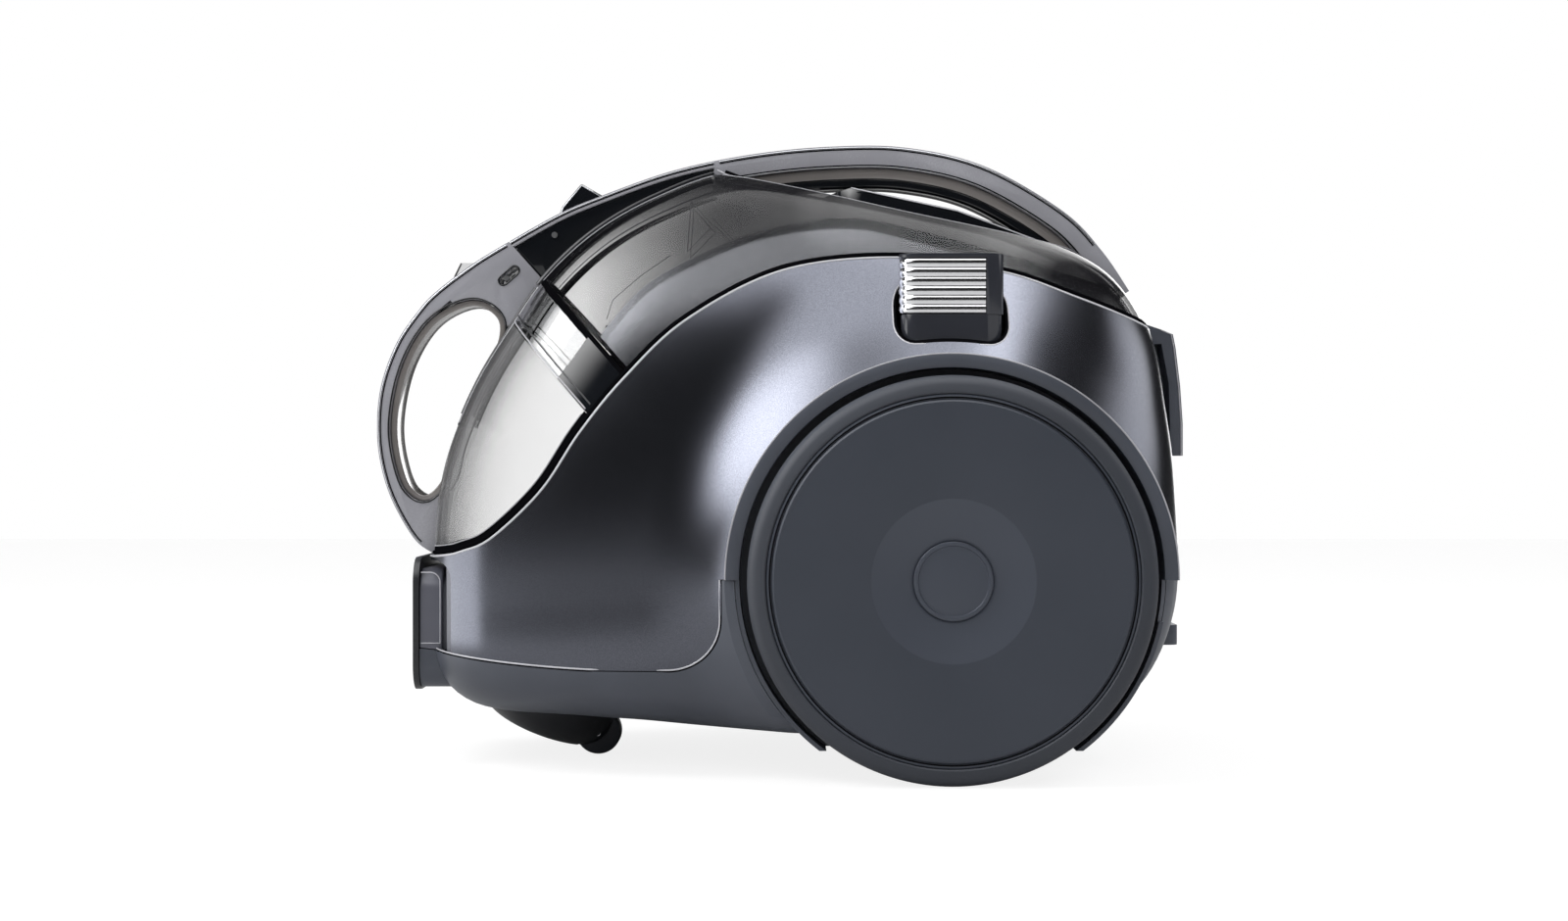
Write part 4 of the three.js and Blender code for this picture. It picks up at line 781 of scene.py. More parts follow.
def nose_recess(margin):
    """The opening in the housing's front, square across it, with a rounded upper corner."""
    return side_slab(rounded(-far, nose_recess_x - margin, -far, nose_recess_top_z - margin,
                             nose_recess_radius - margin, 16))


def socket_hole():
    hole = rod(hose_radius + socket_wall + seat, nose_x - 10, nose_x + socket_length + 20)
    return turned(hole, "X", (0, 0, inlet_z), 64)


def skin(inset, lift, name="form"):
    """The body over the shoulder line, its surface moved inwards."""
    return common(body_form(inset, name), above_shoulder(lift))


def housing_shell():
    shell = common(body_form(0, "housing_shell"), below_shoulder(0), above_sill(slip / 2))
    cut(shell, body_form(housing_wall))
    for side in (-1, 1):
        cut(shell, well_space(seat, side), pedal_pocket(side))
    cut(shell, block(grille_x, far, grille_half_width + seat, grille_bottom_z - seat, grille_top_z + seat),
        block(park_deep_x - park_lining - seat, far, park_slot_half + park_lining + seat, park_bottom_z - seat,
              park_slot_top_z + park_lining + seat),
        block(park_deep_x, far, park_slot_half, grille_top_z - 5, park_bottom_z), socket_hole(), nose_recess(0))
    dress(follow_form(shell, [0]), gunmetal, "gunmetal_shell", "upper_housing")


def chassis_shell():
    shell = cut(common(body_form(0, "chassis_shell"), below_sill(slip / 2)), body_form(chassis_wall))
    nose = common(nose_block(nose_inset, nose_block_end_x), below_sill(slip / 2))
    join(shell, cut(nose, body_form(chassis_wall)))
    plate, swivel = (turned(rod(caster_radius + margin, 0, caster_top_z + rise), "Z", (caster_x, 0, 0))
                     for margin, rise in ((4, 4), (1, 0.8)))
    join(shell, common(plate, body_form(chassis_wall / 2)))
    cut(shell, swivel, socket_hole(), well_space(seat, -1), well_space(seat, 1))
    dress(follow_form(shell, [0]), slate, "chassis_plastic", "lower_chassis")


def at_y(line, y):
    """A side-view line as places at one y (mm)."""
    return [(x, y, z) for x, z in line]


def both_sides(path):
    return [path, [(x, -y, z) for x, y, z in path]]


def on_form(points, inset):
    """Places on the left side of the body's surface, from a side-view line (mm)."""
    return [(x, -y, z) for (x, z), y in zip(points, surface_y(points, inset))]


def surface_lines(points, inset):
    """The part of a side-view line within the body, on its left side, and on its right side backwards."""
    points = np.asarray(points, float)
    left, right = both_sides(on_form(points[room_at(*points.T) > inset], inset))
    return [left, right[::-1]]


def top_place(x, y, inset, low_z=190.0):
    """The place on the body's upper surface over x and y (mm)."""
    high_z = 310.0
    for _ in range(26):
        z = (low_z + high_z) / 2
        wide = room_at(x, z) > inset and surface_y([(x, z)], inset)[0] > abs(y)
        low_z, high_z = (z, high_z) if wide else (low_z, z)
    return x, y, low_z


def crest_path(y, inset, start_x, end_x, low_z=190.0):
    return [top_place(x, y, inset, low_z) for x in np.linspace(start_x, end_x, 60)]


def tube(name, paths, radius, material, slot, body="base", closed=False, end_share=1.0):
    """Thin round tubes along paths in millimetres, for mouldings and for lines of painted highlight and painted
    shade; each path's last point is end_share as thick.
    """
    curve = bpy.data.curves.new(name, "CURVE")
    curve.dimensions = "3D"
    curve.bevel_depth = radius * MM
    curve.bevel_resolution = 3
    for path in paths:
        line = curve.splines.new("POLY")
        line.points.add(len(path) - 1)
        for i, (point, (x, y, z)) in enumerate(zip(line.points, path)):
            point.co = ((x + frame_shift) * MM, y * MM, z * MM, 1)
            point.radius = 1 + (end_share - 1) * i / len(path)
        line.use_cyclic_u = closed
        line.use_smooth = True
    piece = bpy.data.objects.new(name, curve)
    bpy.context.scene.collection.objects.link(piece)
    dress(piece, material, slot, body=body)


def bead(name, path, *looks, **options):
    """A tube along the path, and its mirror image on the other side."""
    tube(name, both_sides(path), *looks, **options)


def housing_lines():
    """Painted highlights on the housing's edges and painted shadow in its gaps, along the upper and lower
    parting lines.
    """
    edge, gap = surface_lines(offset(shoulder, -0.5), 0.1), surface_lines(offset(shoulder, 1.3), 1.4)
    # Pale tubes on the rounded edges are painted highlights; matte black tubes in the gaps are painted shadow.
    tube("housing_edge_highlight", [sum(edge, [])], 0.6, painted_highlight_pale, "gunmetal_shell", closed=True)
    tube("parting_shadow", [sum(gap, [])], 1.1, painted_shade_black, "seal_rubber", closed=True)
    line = sill(0)[1:-1]
    tube("sill_edge_highlight", surface_lines(offset(line, 0.8), 0.1), 0.4, painted_highlight_pale, "gunmetal_shell")
    tube("sill_gap_shadow", surface_lines(line, 0.35), 0.5, painted_shade_black, "gunmetal_shell")


# ---------------------------------------------------------------- clear cover, deck and recess
recess_start_x, recess_end_x, recess_half_width, recess_corner = 22.0, 138.0, 38.0, 30.0
recess_wall, recess_rise, recess_rise_end_x, recess_depth = 2.2, 8.0, 90.0, 21.5
crown_bottom_z, crown_top_z = 200.0, 330.0


def cover_block(inset):
    return common(body_form(inset), below_flat(inset - cover_inset))


def recess_plan(margin):
    outline = rounded(recess_start_x, recess_end_x, -recess_half_width, recess_half_width, recess_corner,
                      12, margin)
    return plan_slab(outline, crown_bottom_z, crown_top_z)


def recess_floor(rise):
    points = [(recess_start_x - 4, flat_z(recess_start_x) + 2)]
    for x, lift in ((recess_start_x + 24, 5), (72, 0), (recess_end_x - 18, 12)):
        points.append((x, flat_z(x) - recess_depth + lift))
    points.append((recess_end_x + 4, flat_z(recess_end_x) + 2))
    return above([(x, z + rise) for x, z in spline(points, 48)])


def recess_rim():
    return side_slab([
        (-far, -far), (far, -far), (recess_end_x + 8, flat_z(recess_end_x + 8)),
        (recess_rise_end_x, flat_z(recess_rise_end_x) + recess_rise),
        (recess_start_x + 14, flat_z(recess_start_x + 14) + recess_rise),
        (recess_start_x - 4, flat_z(recess_start_x - 4))])


def cover_trims():
    """A line of painted highlight on the crease where the cover's flat meets its sides, and along the cover's
    front ridge a black moulding with a line of painted highlight and a band of painted shade.
    """
    edge = [(x, flat_z(x) - 0.15) for x in np.linspace(flat_start[0] - 8, 150, 60)]
    bead("cover_crease_highlight", on_form(edge, cover_inset + 0.15), 0.28, painted_highlight_grey, "smoked_clear")
    start = seam_point(-2, -1)[0] + 16
    # The black tube is a moulding; the grey line is painted highlight and the matte black band painted shade.
    for name, y, sink, lead, radius, material, slot, end_share in [
            ("ridge_tube", handle_half_width + 0.8, -0.6, 0, 1.9, satin_black, "gloss_black", 0.4),
            ("ridge_highlight", 36, 0.1, 4, 0.3, painted_highlight_grey, "smoked_clear", 1.0),
            ("ridge_shade", 41, 1.4, 6, 2.0, painted_shade_black, "gloss_black", 0.5)]:
        path = crest_path(y, cover_inset + sink, start + lead, carry_start_x)
        bead(name, path, radius, material, slot, end_share=end_share)


def inner_ribs():
    """Thin moulded ribs, drawn as grey lines of painted highlight, and clip edges, seen through the clear front
    of the cover.
    """
    ribs = [(20, (-45.7, 286), (-47.6, 260)), (20, (-45.7, 286), (-34.4, 273.2), (-47.6, 260)),
            (20, (-34.4, 277), (-22.6, 264.8)), (52, (-63.3, 242), (-67.2, 238), (-78, 213.6)),
            (52, (-54.6, 255.6), (-70.2, 244.8), (-83.8, 233), (-86.8, 223.4))]
    paths = [path for y, *line in ribs for path in both_sides(at_y(line, -y))]
    # The ribs are grey lines of painted highlight.
    tube("inner_ribs", paths, 0.22, painted_highlight_grey, "smoked_clear")
    clip = at_y([(-86.4, 219.5), (-79.2, 219.5), (-79.2, 208.4), (-86.4, 208.4)], -57)
    bead("inner_clip", clip, 1.0, satin_black, "gloss_black", closed=True)


def recess_highlights():
    last = recess_end_x - 6
    rise = np.linspace(recess_start_x + 14, recess_rise_end_x, 30)
    line = [(x, flat_z(x) + recess_rise - 0.5) for x in rise]
    path = at_y([*line, (last, flat_z(last) + 1)], -recess_half_width - 0.1)
    # A pale tube along the recess rim's upper edge: painted highlight.
    bead("recess_rim_highlight", path, 0.35, painted_highlight_pale, "gloss_black")


def bin_ridge():
    """The ridge's black moulding, with lines of painted highlight and a band of painted shade, carried on over
    the bin in front of the seam.
    """
    # The edge and line tubes are painted highlight; the shade band is painted shade.
    for name, y, sink, radius, material in [
            ("tube", 17.8, -0.4, 1.5, satin_black), ("edge", 24, 0.1, 0.3, painted_highlight_pale),
            ("shade", 29, 1.2, 1.7, painted_shade_black), ("line", 34, 0.1, 0.3, painted_highlight_pale)]:
        path = crest_path(y, cover_inset + sink, -163, -128 + 0.15 * y, 150.0)
        path = [p for p in path if in_front((p[0], p[2]), 1)]
        bead(f"bin_ridge_{name}", path, radius, material, "clear_bin", "bin")


def recess_tray():
    tray = common(recess_plan(0), recess_floor(0), recess_rim())
    tray.name = "recess_tray"
    cut(tray, common(recess_plan(-recess_wall), recess_floor(recess_wall)))
    dress(soft(tray, 0.5), gloss_black, "gloss_black", "handle_recess")


seam_rim = 1.7


def split_off(piece, name, region):
    """The part of the piece inside the region becomes a piece of its own."""
    part = settle(piece.copy())
    bpy.context.scene.collection.objects.link(part)
    part.name = name
    carve(part, "INTERSECT", region, keep=True)
    cut(piece, region)
    return part


shroud_gap, shroud_wall, deck_drop = 1.2, 2.2, 1.5
shroud_rim = [(-86, 216), (-66, 238), (-40, 253), (-9, 265), (31, 272), (62, 268), (130, 249), (190, 232)]


def seam_line(forward, start, end, count, lift):
    """A side-view line along the seam, as far as it lies above the shoulder by the lift."""
    line = [seam_point(along, forward) for along in np.linspace(start, end, count)]
    return [p for p in line if p[1] > shoulder_z(p[0]) + lift]


def cover_shell():
    shell = common(body_form(cover_inset, "cover_shell"), below_flat(0), above_shoulder(slip),
                   behind_seam(-slip / 2))
    cut(shell, common(cover_block(inner_skin), behind_seam(3)), common(recess_plan(seat), recess_floor(-seat)))
    rim = split_off(shell, "cover_rim", front_of_seam(-seam_rim))
    crown_space = side_slab([(-100, 120), *spline(shroud_rim, 60), (far, far), (-far, far), (-far, 120)])
    crown = split_off(shell, "cover_crown", crown_space)
    # The cover's strip along the seam is matte black: painted shadow in the seam.
    dress(follow_form(rim), painted_shade_black, "gloss_black")
    dress(follow_form(crown), smoked_crown, "smoked_clear")
    # A matte black tube along the seam: painted shadow in the gap.
    line = on_form(seam_line(0, 8, 125, 60, slip), cover_inset + 0.6)
    bead("seam_shadow", line, 0.9, painted_shade_black, "seal_rubber")
    dress(follow_form(shell), smoked_window, "smoked_clear", "top_cover")


def inner_shroud():
    inset = inner_skin + shroud_gap
    shell = common(body_form(inset, "shroud_shell"), body_form(housing_wall + seat),
                   above_shoulder(seat - deck_drop), behind_seam(-4), below(spline(shroud_rim, 60)))
    cut(shell, body_form(inset + shroud_wall))
    dress(follow_form(shell, [inset]), shroud_grey, "gunmetal_shell", "inner_shroud")


# ---------------------------------------------------------------- dust bin
tub_profile = [(-161, 112), (-118, 96), (-84, 184), (-104, 206), (-150, 150)]
tub_half_width = 70.0
collar_block_start = 70.0
bin_rim_width = 3.6


def in_front(point, distance):
    """Whether a side-view place lies in front of the seam by at least the distance."""
    dx, dz = seam_direction
    return (point[0] - seam_top[0]) * dz - (point[1] - seam_top[1]) * dx > distance


def grown(outline, distance):
    """A closed anticlockwise outline moved outwards, its corners mitred."""
    result = []
    for i, point in enumerate(outline):
        before, here, after = (Vector(outline[k % len(outline)]) for k in (i - 1, i, i + 1))
        p, q = (here - before).normalized(), (after - here).normalized()
        scale = distance / (1 + p.dot(q))
        result.append((point[0] + (p.y + q.y) * scale, point[1] - (p.x + q.x) * scale))
    return result


def bin_shell():
    shell = join(skin(cover_inset, slip, "bin_shell"),
                 common(side_slab(tub_profile, tub_half_width), body_form(cover_inset)))
    common(shell, front_of_seam(collar_depth))
    tub = side_slab(grown(tub_profile, -cover_wall), tub_half_width - cover_wall)
    room = join(skin(inner_skin, slip + cover_wall), common(tub, body_form(inner_skin)))
    cut(shell, common(room, front_of_seam(collar_depth - 3)))
    rim = split_off(shell, "bin_rim", below_shoulder(-slip - bin_rim_width))
    # The bin's strip along the shoulder is matte black: painted shadow in the parting line.
    dress(follow_form(rim), painted_shade_black, "gloss_black", body="bin")
    # A grey tube on the strip's upper edge: painted highlight.
    edge = [p for p in offset(shoulder, slip + bin_rim_width + 0.3) if in_front(p, collar_depth + 1)]
    loop = sum(surface_lines(edge, cover_inset - 0.1), [])
    tube("bin_rim_highlight", [loop], 0.3, painted_highlight_grey, "clear_bin", "bin")
    dress(follow_form(shell), clear_shell, "clear_bin", "dust_bin", body="bin")


def bin_collar():
    band = common(skin(cover_inset, slip, "collar_shell"), front_of_seam(slip / 2),
                  behind_seam(collar_depth - seat))
    cut(band, skin(inner_skin, slip + cover_wall))
    start, reach = collar_block_start, collar_depth + 2
    corners = (start, 0), (start + 6, reach), (far, reach), (far, 0)
    low = side_slab([seam_point(*corner) for corner in corners])
    blocks = split_off(band, "collar_blocks", low)
    rim = split_off(band, "collar_rim", behind_seam(seam_rim))
    dress(follow_form(blocks), gloss_black, "gloss_black", body="bin")
    # The collar's strip along the seam is matte black: painted shadow in the seam.
    dress(follow_form(rim), painted_shade_black, "gloss_black", body="bin")
    # The first line's grey is painted highlight; the second line is black.
    for name, back, material in (("collar_line_1", 1.2, painted_highlight_grey), ("collar_line_2", 4.4, satin_black)):
        line = on_form(seam_line(collar_depth - back, 18, 96, 50, slip + 1), cover_inset + 0.1)
        bead(name, line, 0.45, material, "smoked_clear", "bin")
    dress(follow_form(band), clear, "smoked_clear", "bin_collar", body="bin")


# ---------------------------------------------------------------- handles
bin_line = spline(bin_crest, 90)
carry_line = spline(handle_crest, 120)


def strip(line, a, b):
    return [*offset(line, -a), *offset(line, -b)[::-1]]


def finger_loop(margin):
    line = spline(loop_outline, 120, closed=True, power=0.5)
    return side_slab(offset(line, -margin, closed=True))


def housing_skin():
    return common(body_form(-seat), below_shoulder(-slip))


slider_direction, slider_travel = (0.75, 0.66), 4.0
slider_pin, slider_half_width = (-141.2, 246.6), 4.5
slider_slot_radius, slider_slot_spare = 2.0, 1.8
slider_channel = [
    (-172.6, 243.8), (-160, 244.8), (-144.2, 242.4), (-133.8, 251.6), (-134.4, 253.8), (-146, 256.4),
    (-149, 268), (-185, 268),
]


def slider_slot(margin=0.0):
    (dx, dz), (px, pz) = slider_direction, slider_pin
    turn, radius = math.degrees(math.atan2(dz, dx)), slider_slot_radius + margin
    start = (px - slider_slot_spare * dx, pz - slider_slot_spare * dz)
    reach = slider_travel + 2 * slider_slot_spare
    end = (start[0] + reach * dx, start[1] + reach * dz)
    return arc(start, radius, turn + 90, turn + 270, 12) + arc(end, radius, turn - 90, turn + 90, 12)


def bin_handle():
    root = [*bin_line[-32:], seam_point(36, 0), (-134, 222), (-160, 222), (-172, 238)]
    foot = [*bin_line[:20], (-190, 146), (-178, 150), (-168, 130), (-168, 104)]
    band = join(*(side_slab(outline, handle_half_width, "bin_handle_band")
                  for outline in (strip(bin_line, 0, bin_band), root, foot)))
    cut(band, body_form(cover_inset - seat), behind_seam(slip / 2), finger_loop(bin_grip),
        side_slab(slider_channel, slider_half_width + seat), side_slab(slider_slot()), housing_skin())
    dress(soft(band, 0.8, 3), band_grey, "handle_band", "bin_handle", body="bin")


def bin_grip_pad():
    pad = cut(finger_loop(bin_grip - seat), finger_loop(0))
    pad.name = "bin_handle_grip"
    cut(common(pad, block(-far, far, grip_half_width)), body_form(cover_inset - seat), housing_skin())
    dress(soft(pad, 0.6, 3), grip_smoke, "smoked_grip", "bin_grip", body="bin")


def handle_lines():
    """Lines of painted highlight and painted shade on both side faces of the handles, each at a depth below its
    crest, and black rims round the finger loop and the slider's slot.
    """
    spine = np.array([p for p in carry_line if p[0] < carry_start_x + 2])
    band = np.array([p for p in carry_line if carry_start_x < p[0] < carry_grip_end_x - 1])
    front = bin_line[4:-1]
    y = -handle_half_width
    # Silver and grey lines are painted highlights; matte black lines are painted shade.
    for name, line, depth, radius, material, body in [
            ("spine_edge_highlight", spine, 0.9, 0.3, silver_edge_and_highlight, "base"),
            ("spine_groove_shadow", spine, 1.7, 0.35, painted_shade_black, "base"),
            ("spine_foot_highlight", spine, 2.9, 0.25, painted_highlight_grey, "base"),
            ("band_edge_highlight", band, 1.0, 0.4, silver_edge_and_highlight, "base"),
            ("band_groove_shadow", band, 1.9, 0.35, painted_shade_black, "base"),
            ("band_foot_shadow", band, 10.2, 0.4, painted_shade_black, "base"),
            ("band_glint", band, 10.8, 0.25, silver_edge_and_highlight, "base"),
            ("loop_edge_highlight", front, 0.9, 0.35, silver_edge_and_highlight, "bin"),
            ("loop_groove_shadow", front, 1.8, 0.35, painted_shade_black, "bin")]:
        bead(name, at_y(offset(line, -depth), y), radius, material, "handle_band", body)
    rim = offset(spline(loop_outline, 120, closed=True, power=0.5), -bin_grip - 0.5, closed=True)
    for name, line, radius in (("loop_rim", rim, 0.45), ("slot_rim", slider_slot(0.5), 0.5)):
        bead(name, at_y(line, y), radius, gloss_black, "handle_band", "bin", closed=True)


def band_front():
    """A painted highlight on the slanted edge, and a wedge of painted shade, where the carry handle's thick
    band starts.
    """
    y = -handle_half_width - 0.1
    edge, wedge = at_y([(-32.3, 302.1), (-25.2, 298.6)], y), at_y([(-28.2, 301.6), (-17.5, 297.8)], y)
    bead("band_front_highlight", edge, 0.6, painted_highlight_pale, "handle_band")
    bead("band_front_shadow", wedge, 0.8, painted_shade_black, "handle_band", end_share=0.3)


lever_pivot, lever_half_width = (-116.2, 268.9), 7.5
lever_way_bottom_z, lever_way_top_z = 272.0, 300.0


def carry_band_piece():
    band, spine = (side_slab(strip(carry_line, 0, depth), handle_half_width, "carry_handle_band")
                   for depth in (carry_band, spine_thickness))
    common(join(common(band, block(carry_start_x, far)), spine), behind_seam(-slip / 2))
    way = block(lever_pivot[0] - 3, lever_pivot[0] + 28, lever_half_width + 0.6,
                lever_way_bottom_z, lever_way_top_z)
    cut(band, cover_block(cover_inset - seat), housing_skin(), way)
    dress(soft(band, 0.9, 3), band_grey, "handle_band", "carry_handle")


def carry_grip_piece():
    top, bottom = carry_band + seat, carry_band + carry_grip
    layers = [(top, top + 5.2, grip_half_width), (top + 4, top + 7, grip_half_width - 1.1),
              (top + 6, bottom, grip_half_width - 0.2)]
    grip = join(*(side_slab(strip(carry_line, a, b), w, "carry_handle_grip") for a, b, w in layers))
    common(grip, block(carry_start_x + seat, carry_grip_end_x))
    cut(grip, cover_block(cover_inset - seat), common(recess_plan(seat), recess_floor(-seat), recess_rim()))
    foot = split_off(grip, "carry_handle_grip_foot", side_slab(strip(carry_line, top + 5.0, bottom + 4)))
    dress(soft(foot, 0.3), gloss_black, "smoked_grip")
    dress(soft(grip, 0.5), grip_smoke, "smoked_grip", "carry_grip")


def latch_housing():
    under = [p for p in offset(carry_line, -spine_thickness - seat) if p[0] < carry_start_x - 1]
    outline = [*under, (carry_start_x - 1, 285), (-60, 270), (-100, 240), (-130, 225)]
    housing = common(side_slab(outline, handle_half_width - 1, "latch_housing_shell"), behind_seam(-slip / 2))
    room = side_slab([(-150, 225), (-150, 282), (-84, 300), (-84, 240)], lever_half_width + 1)
    cut(housing, cover_block(cover_inset - seat), room)
    dress(soft(housing, 0.7, 3), gloss_black, "gloss_black", "latch_housing")


def release_button():
    px, pz = lever_pivot
    outline = [(px + x, pz + z) for x, z in (
        (-6, -5), (8, -5), (24, 12), (24.5, 21), (13, 27.5), (3, 15.5), (-2, 1), (-6, -1))]
    button = side_slab(outline, lever_half_width, "release_button")
    # The silver tube round the button is its silver edge, with its highlight painted on.
    edge = at_y(grown(outline, -0.8), -lever_half_width)
    bead("release_edge_highlight", edge, 0.4, silver_edge_and_highlight, "gloss_black", "bin_release", closed=True)
    dress(soft(button, 1.0, 4), gloss_black, "gloss_black", "release_lever", body="bin_release")


# ---------------------------------------------------------------- wheels and arches
def wheel_set(side, end):
    rim, face, inner, dish = wheel_radius - tyre_thickness, wheel_face_y, wheel_inner_y + 1, dish_radius
    bore, cap, tread, seat_y = axle_radius + seat, hub_cap_radius, wheel_radius, wheel_face_y - 3
    disc = [
        (bore, wheel_inner_y), (13, wheel_inner_y), (14, face - 6), (20, face - 5), (rim - 4, face - 4.4),
        (rim - 3, inner), (rim, inner), (rim, face - 1.2), (rim - 0.4, face - 0.7), (rim - 1.2, face - 0.5),
        (rim - 1.7, face - 1.3), (rim - 2.2, face - 1.4), (rim - 2.7, face - 0.5), (rim - 3.6, face),
        (rim - 6, face), (dish + 0.4, face), (dish, face - 0.05), (dish - 0.4, face - 0.15),
        (cap + 2, face - 1.9), (cap + 1, face - 2.1), (cap + seat, face - 2.4), (cap + seat, seat_y),
        (bore, seat_y)]
    tyre = [
        (rim + seat, inner), (tread - 2, inner), (tread - 0.6, wheel_inner_y + 1.8), (tread, wheel_inner_y + 4),
        (tread, face - 7), (tread - 0.4, face - 4.8), (tread - 1.2, face - 3.2), (tread - 2.6, face - 1.7),
        (tread - 4.5, face - 0.8), (rim + 1, face - 0.4), (rim + seat, face - 0.8)]
    hub = [
        (0, seat_y + seat), (cap, seat_y + seat), (cap, face - 1), (cap - 0.35, face - 0.55),
        (cap - 1.1, face - 0.4), (cap - 1.9, face - 0.5), (cap - 2.3, face - 1.1), (cap - 3, face - 1.2),
        (cap - 4, face - 1.1), (0, face - 0.7)]
    groove = at_y(arc((axle_x, axle_z), rim - 1.5, 0, 360, 180)[:-1], side * (face - 0.75))
    body = f"wheel_pair_{end}"

    def ring(name, profile, segments, material, slot, node):
        piece = smooth(axle_ring(profile, side, segments, f"{name}_{end}"), 28)
        dress(piece, material, slot, f"{node}_{end}", body=body)

    ring("wheel_disc", disc, 192, wheel_grey, "wheel_plastic", "wheel")
    ring("wheel_tyre", tyre, 192, tyre_grey, "tyre_rubber", "tyre")
    # A matte black tube in the groove by the rim: painted shade in the groove.
    tube(f"wheel_groove_{end}", [groove], 0.42, painted_shade_black, "tyre_rubber", body, closed=True)
    ring("hub_cap_disc", hub, 128, wheel_grey, "wheel_plastic", "hub_cap")


def arch(side, end):
    """The well's wall, and the lip that stands on the arch's edge over the upper half."""
    bore, foot, top, outer = axle_radius + seat, lip_y + seat, lip_y + seat + lip_thickness, lip_outer_radius
    wall = [(bore, well_floor_y), (well_outer_radius, well_floor_y), (well_outer_radius, foot),
            (well_radius, foot), (well_radius, well_floor_y + 2), (bore, well_floor_y + 2)]
    lower = block(-far, far, sorted((0, side * (lip_y - 3))), liner_foot_z)
    rim = sorted((side * (lip_y - 20), side * (lip_y + 1)))
    kept = join(body_form(0.1), common(lower, below_sill(20)), block(-far, far, rim, axle_z))
    cup = common(axle_ring(wall, side, name=f"wheel_well_{end}"), kept)
    dress(smooth(cup, 28), slate, "chassis_plastic", f"arch_liner_{end}")
    edge = [(well_radius, foot), (outer, foot), (outer, top - 0.9), (outer - 0.4, top - 0.3),
            (outer - 1.2, top), (well_radius + 0.6, top), (well_radius + 0.15, top - 0.2),
            (well_radius, top - 0.8)]
    lip = common(axle_ring(edge, side, name=f"arch_lip_{end}"), block(-far, far, far, axle_z))
    dress(smooth(lip, 28), slate, "chassis_plastic")
    # A grey tube on the lip's outer edge: painted highlight.
    path = at_y(arc((axle_x, axle_z), outer - 0.3, 0, 180, 120), side * (top - 0.4))
    tube(f"arch_edge_highlight_{end}", [path], 0.4, painted_highlight_grey, "chassis_plastic")


# ---------------------------------------------------------------- pedals
pedal_ridges = 6


def swept(path, section, name):
    """A section (outwards, height) carried along an open plan path, closed at both ends."""
    out = np.asarray(path) - offset(path, 1)
    n = len(section)
    corners = [(p[0] + o[0] * u, p[1] + o[1] * u, z) for p, o in zip(path, out) for u, z in section]
    faces = [tuple(range(n)), tuple(range(len(corners) - 1, len(corners) - n - 1, -1))]
    for a in range(0, len(corners) - n, n):
        faces += [(a + i, a + (i + 1) % n, a + n + (i + 1) % n, a + n + i) for i in range(n)]
    return outwards(mesh_object(name, corners, faces))


def pedal_face(side, name):
    """The bright ribbed strip round the pedal's front and outer side."""
    x0, x1, y0, y1, r = pedal_start_x, pedal_face_end_x, pedal_inner_y, pedal_outer_y, pedal_corner
    path = [(x0, y0 + r), (x0, y1 - r), *arc((x0 + r, y1 - r), r, 180, 90, 20)[1:]]
    path += [(x, y1) for x in np.linspace(x0 + r, x1, 12)[1:]]
    path = [(x, side * y) for x, y in path][::-side]
    low_z, high_z = pedal_face_bottom_z + seat, pedal_crown_z - seat
    pitch = (high_z - low_z) / pedal_ridges
    section = [(-1.8, high_z), (-1.8, low_z)]
    for i in range(pedal_ridges):
        for t in np.linspace(0.06, 0.94, 9):
            section.append((0.85 * math.sin(math.pi * t) ** 0.5 - 0.85, low_z + (i + t) * pitch))
    return smooth(swept(path, section, name), 60)


def pedal_set(side, end):
    body = f"power_pedal_{end}"

    def layer(margin, low_z, high_z, name="slab"):
        return plan_slab(pedal_plan(margin, side), low_z, high_z, name)

    foot = layer(-0.8, pedal_bottom_z, pedal_face_bottom_z, f"pedal_foot_{end}")
    core = layer(-2.1, pedal_face_bottom_z, pedal_crown_z)
    tail = common(layer(0, pedal_face_bottom_z, pedal_crown_z), block(pedal_face_end_x + seat, far))
    join(foot, core, tail, layer(0, pedal_crown_z, pedal_top_z))
    dress(soft(foot, 0.7, 3, 50), pedal_black, "gloss_black", f"pedal_{end}", body=body)
    dress(pedal_face(side, f"pedal_ridges_{end}"), chrome, "chrome_trim", f"pedal_face_{end}", body=body)
    well = layer(pedal_well_margin, pedal_well_floor_z - pedal_well_wall, pedal_top_z, f"pedal_well_cup_{end}")
    cut(well, layer(pedal_side_gap, pedal_well_floor_z, pedal_top_z + 1))
    common(well, body_form(0.1), below_shoulder(seat))
    # The cup is matte black without reflection: the dark well drawn with painted shade.
    dress(soft(well, 0.3, 2, 50, 40), painted_shade_black, "gloss_black", f"pedal_well_{end}")
    # A pale tube round the well's edge: painted highlight.
    edge = [top_place(x, y, 0.1) for x, y in pedal_plan(pedal_well_margin + 0.2)]
    turn = min(range(len(edge)), key=lambda i: edge[i][1])
    edge = [(x, side * y, z) for x, y, z in edge[turn:] + edge[:turn] if z < shoulder_z(x) - 0.5]
    tube(f"pedal_well_highlight_{end}", [edge], 0.4, painted_highlight_pale, "gunmetal_shell")


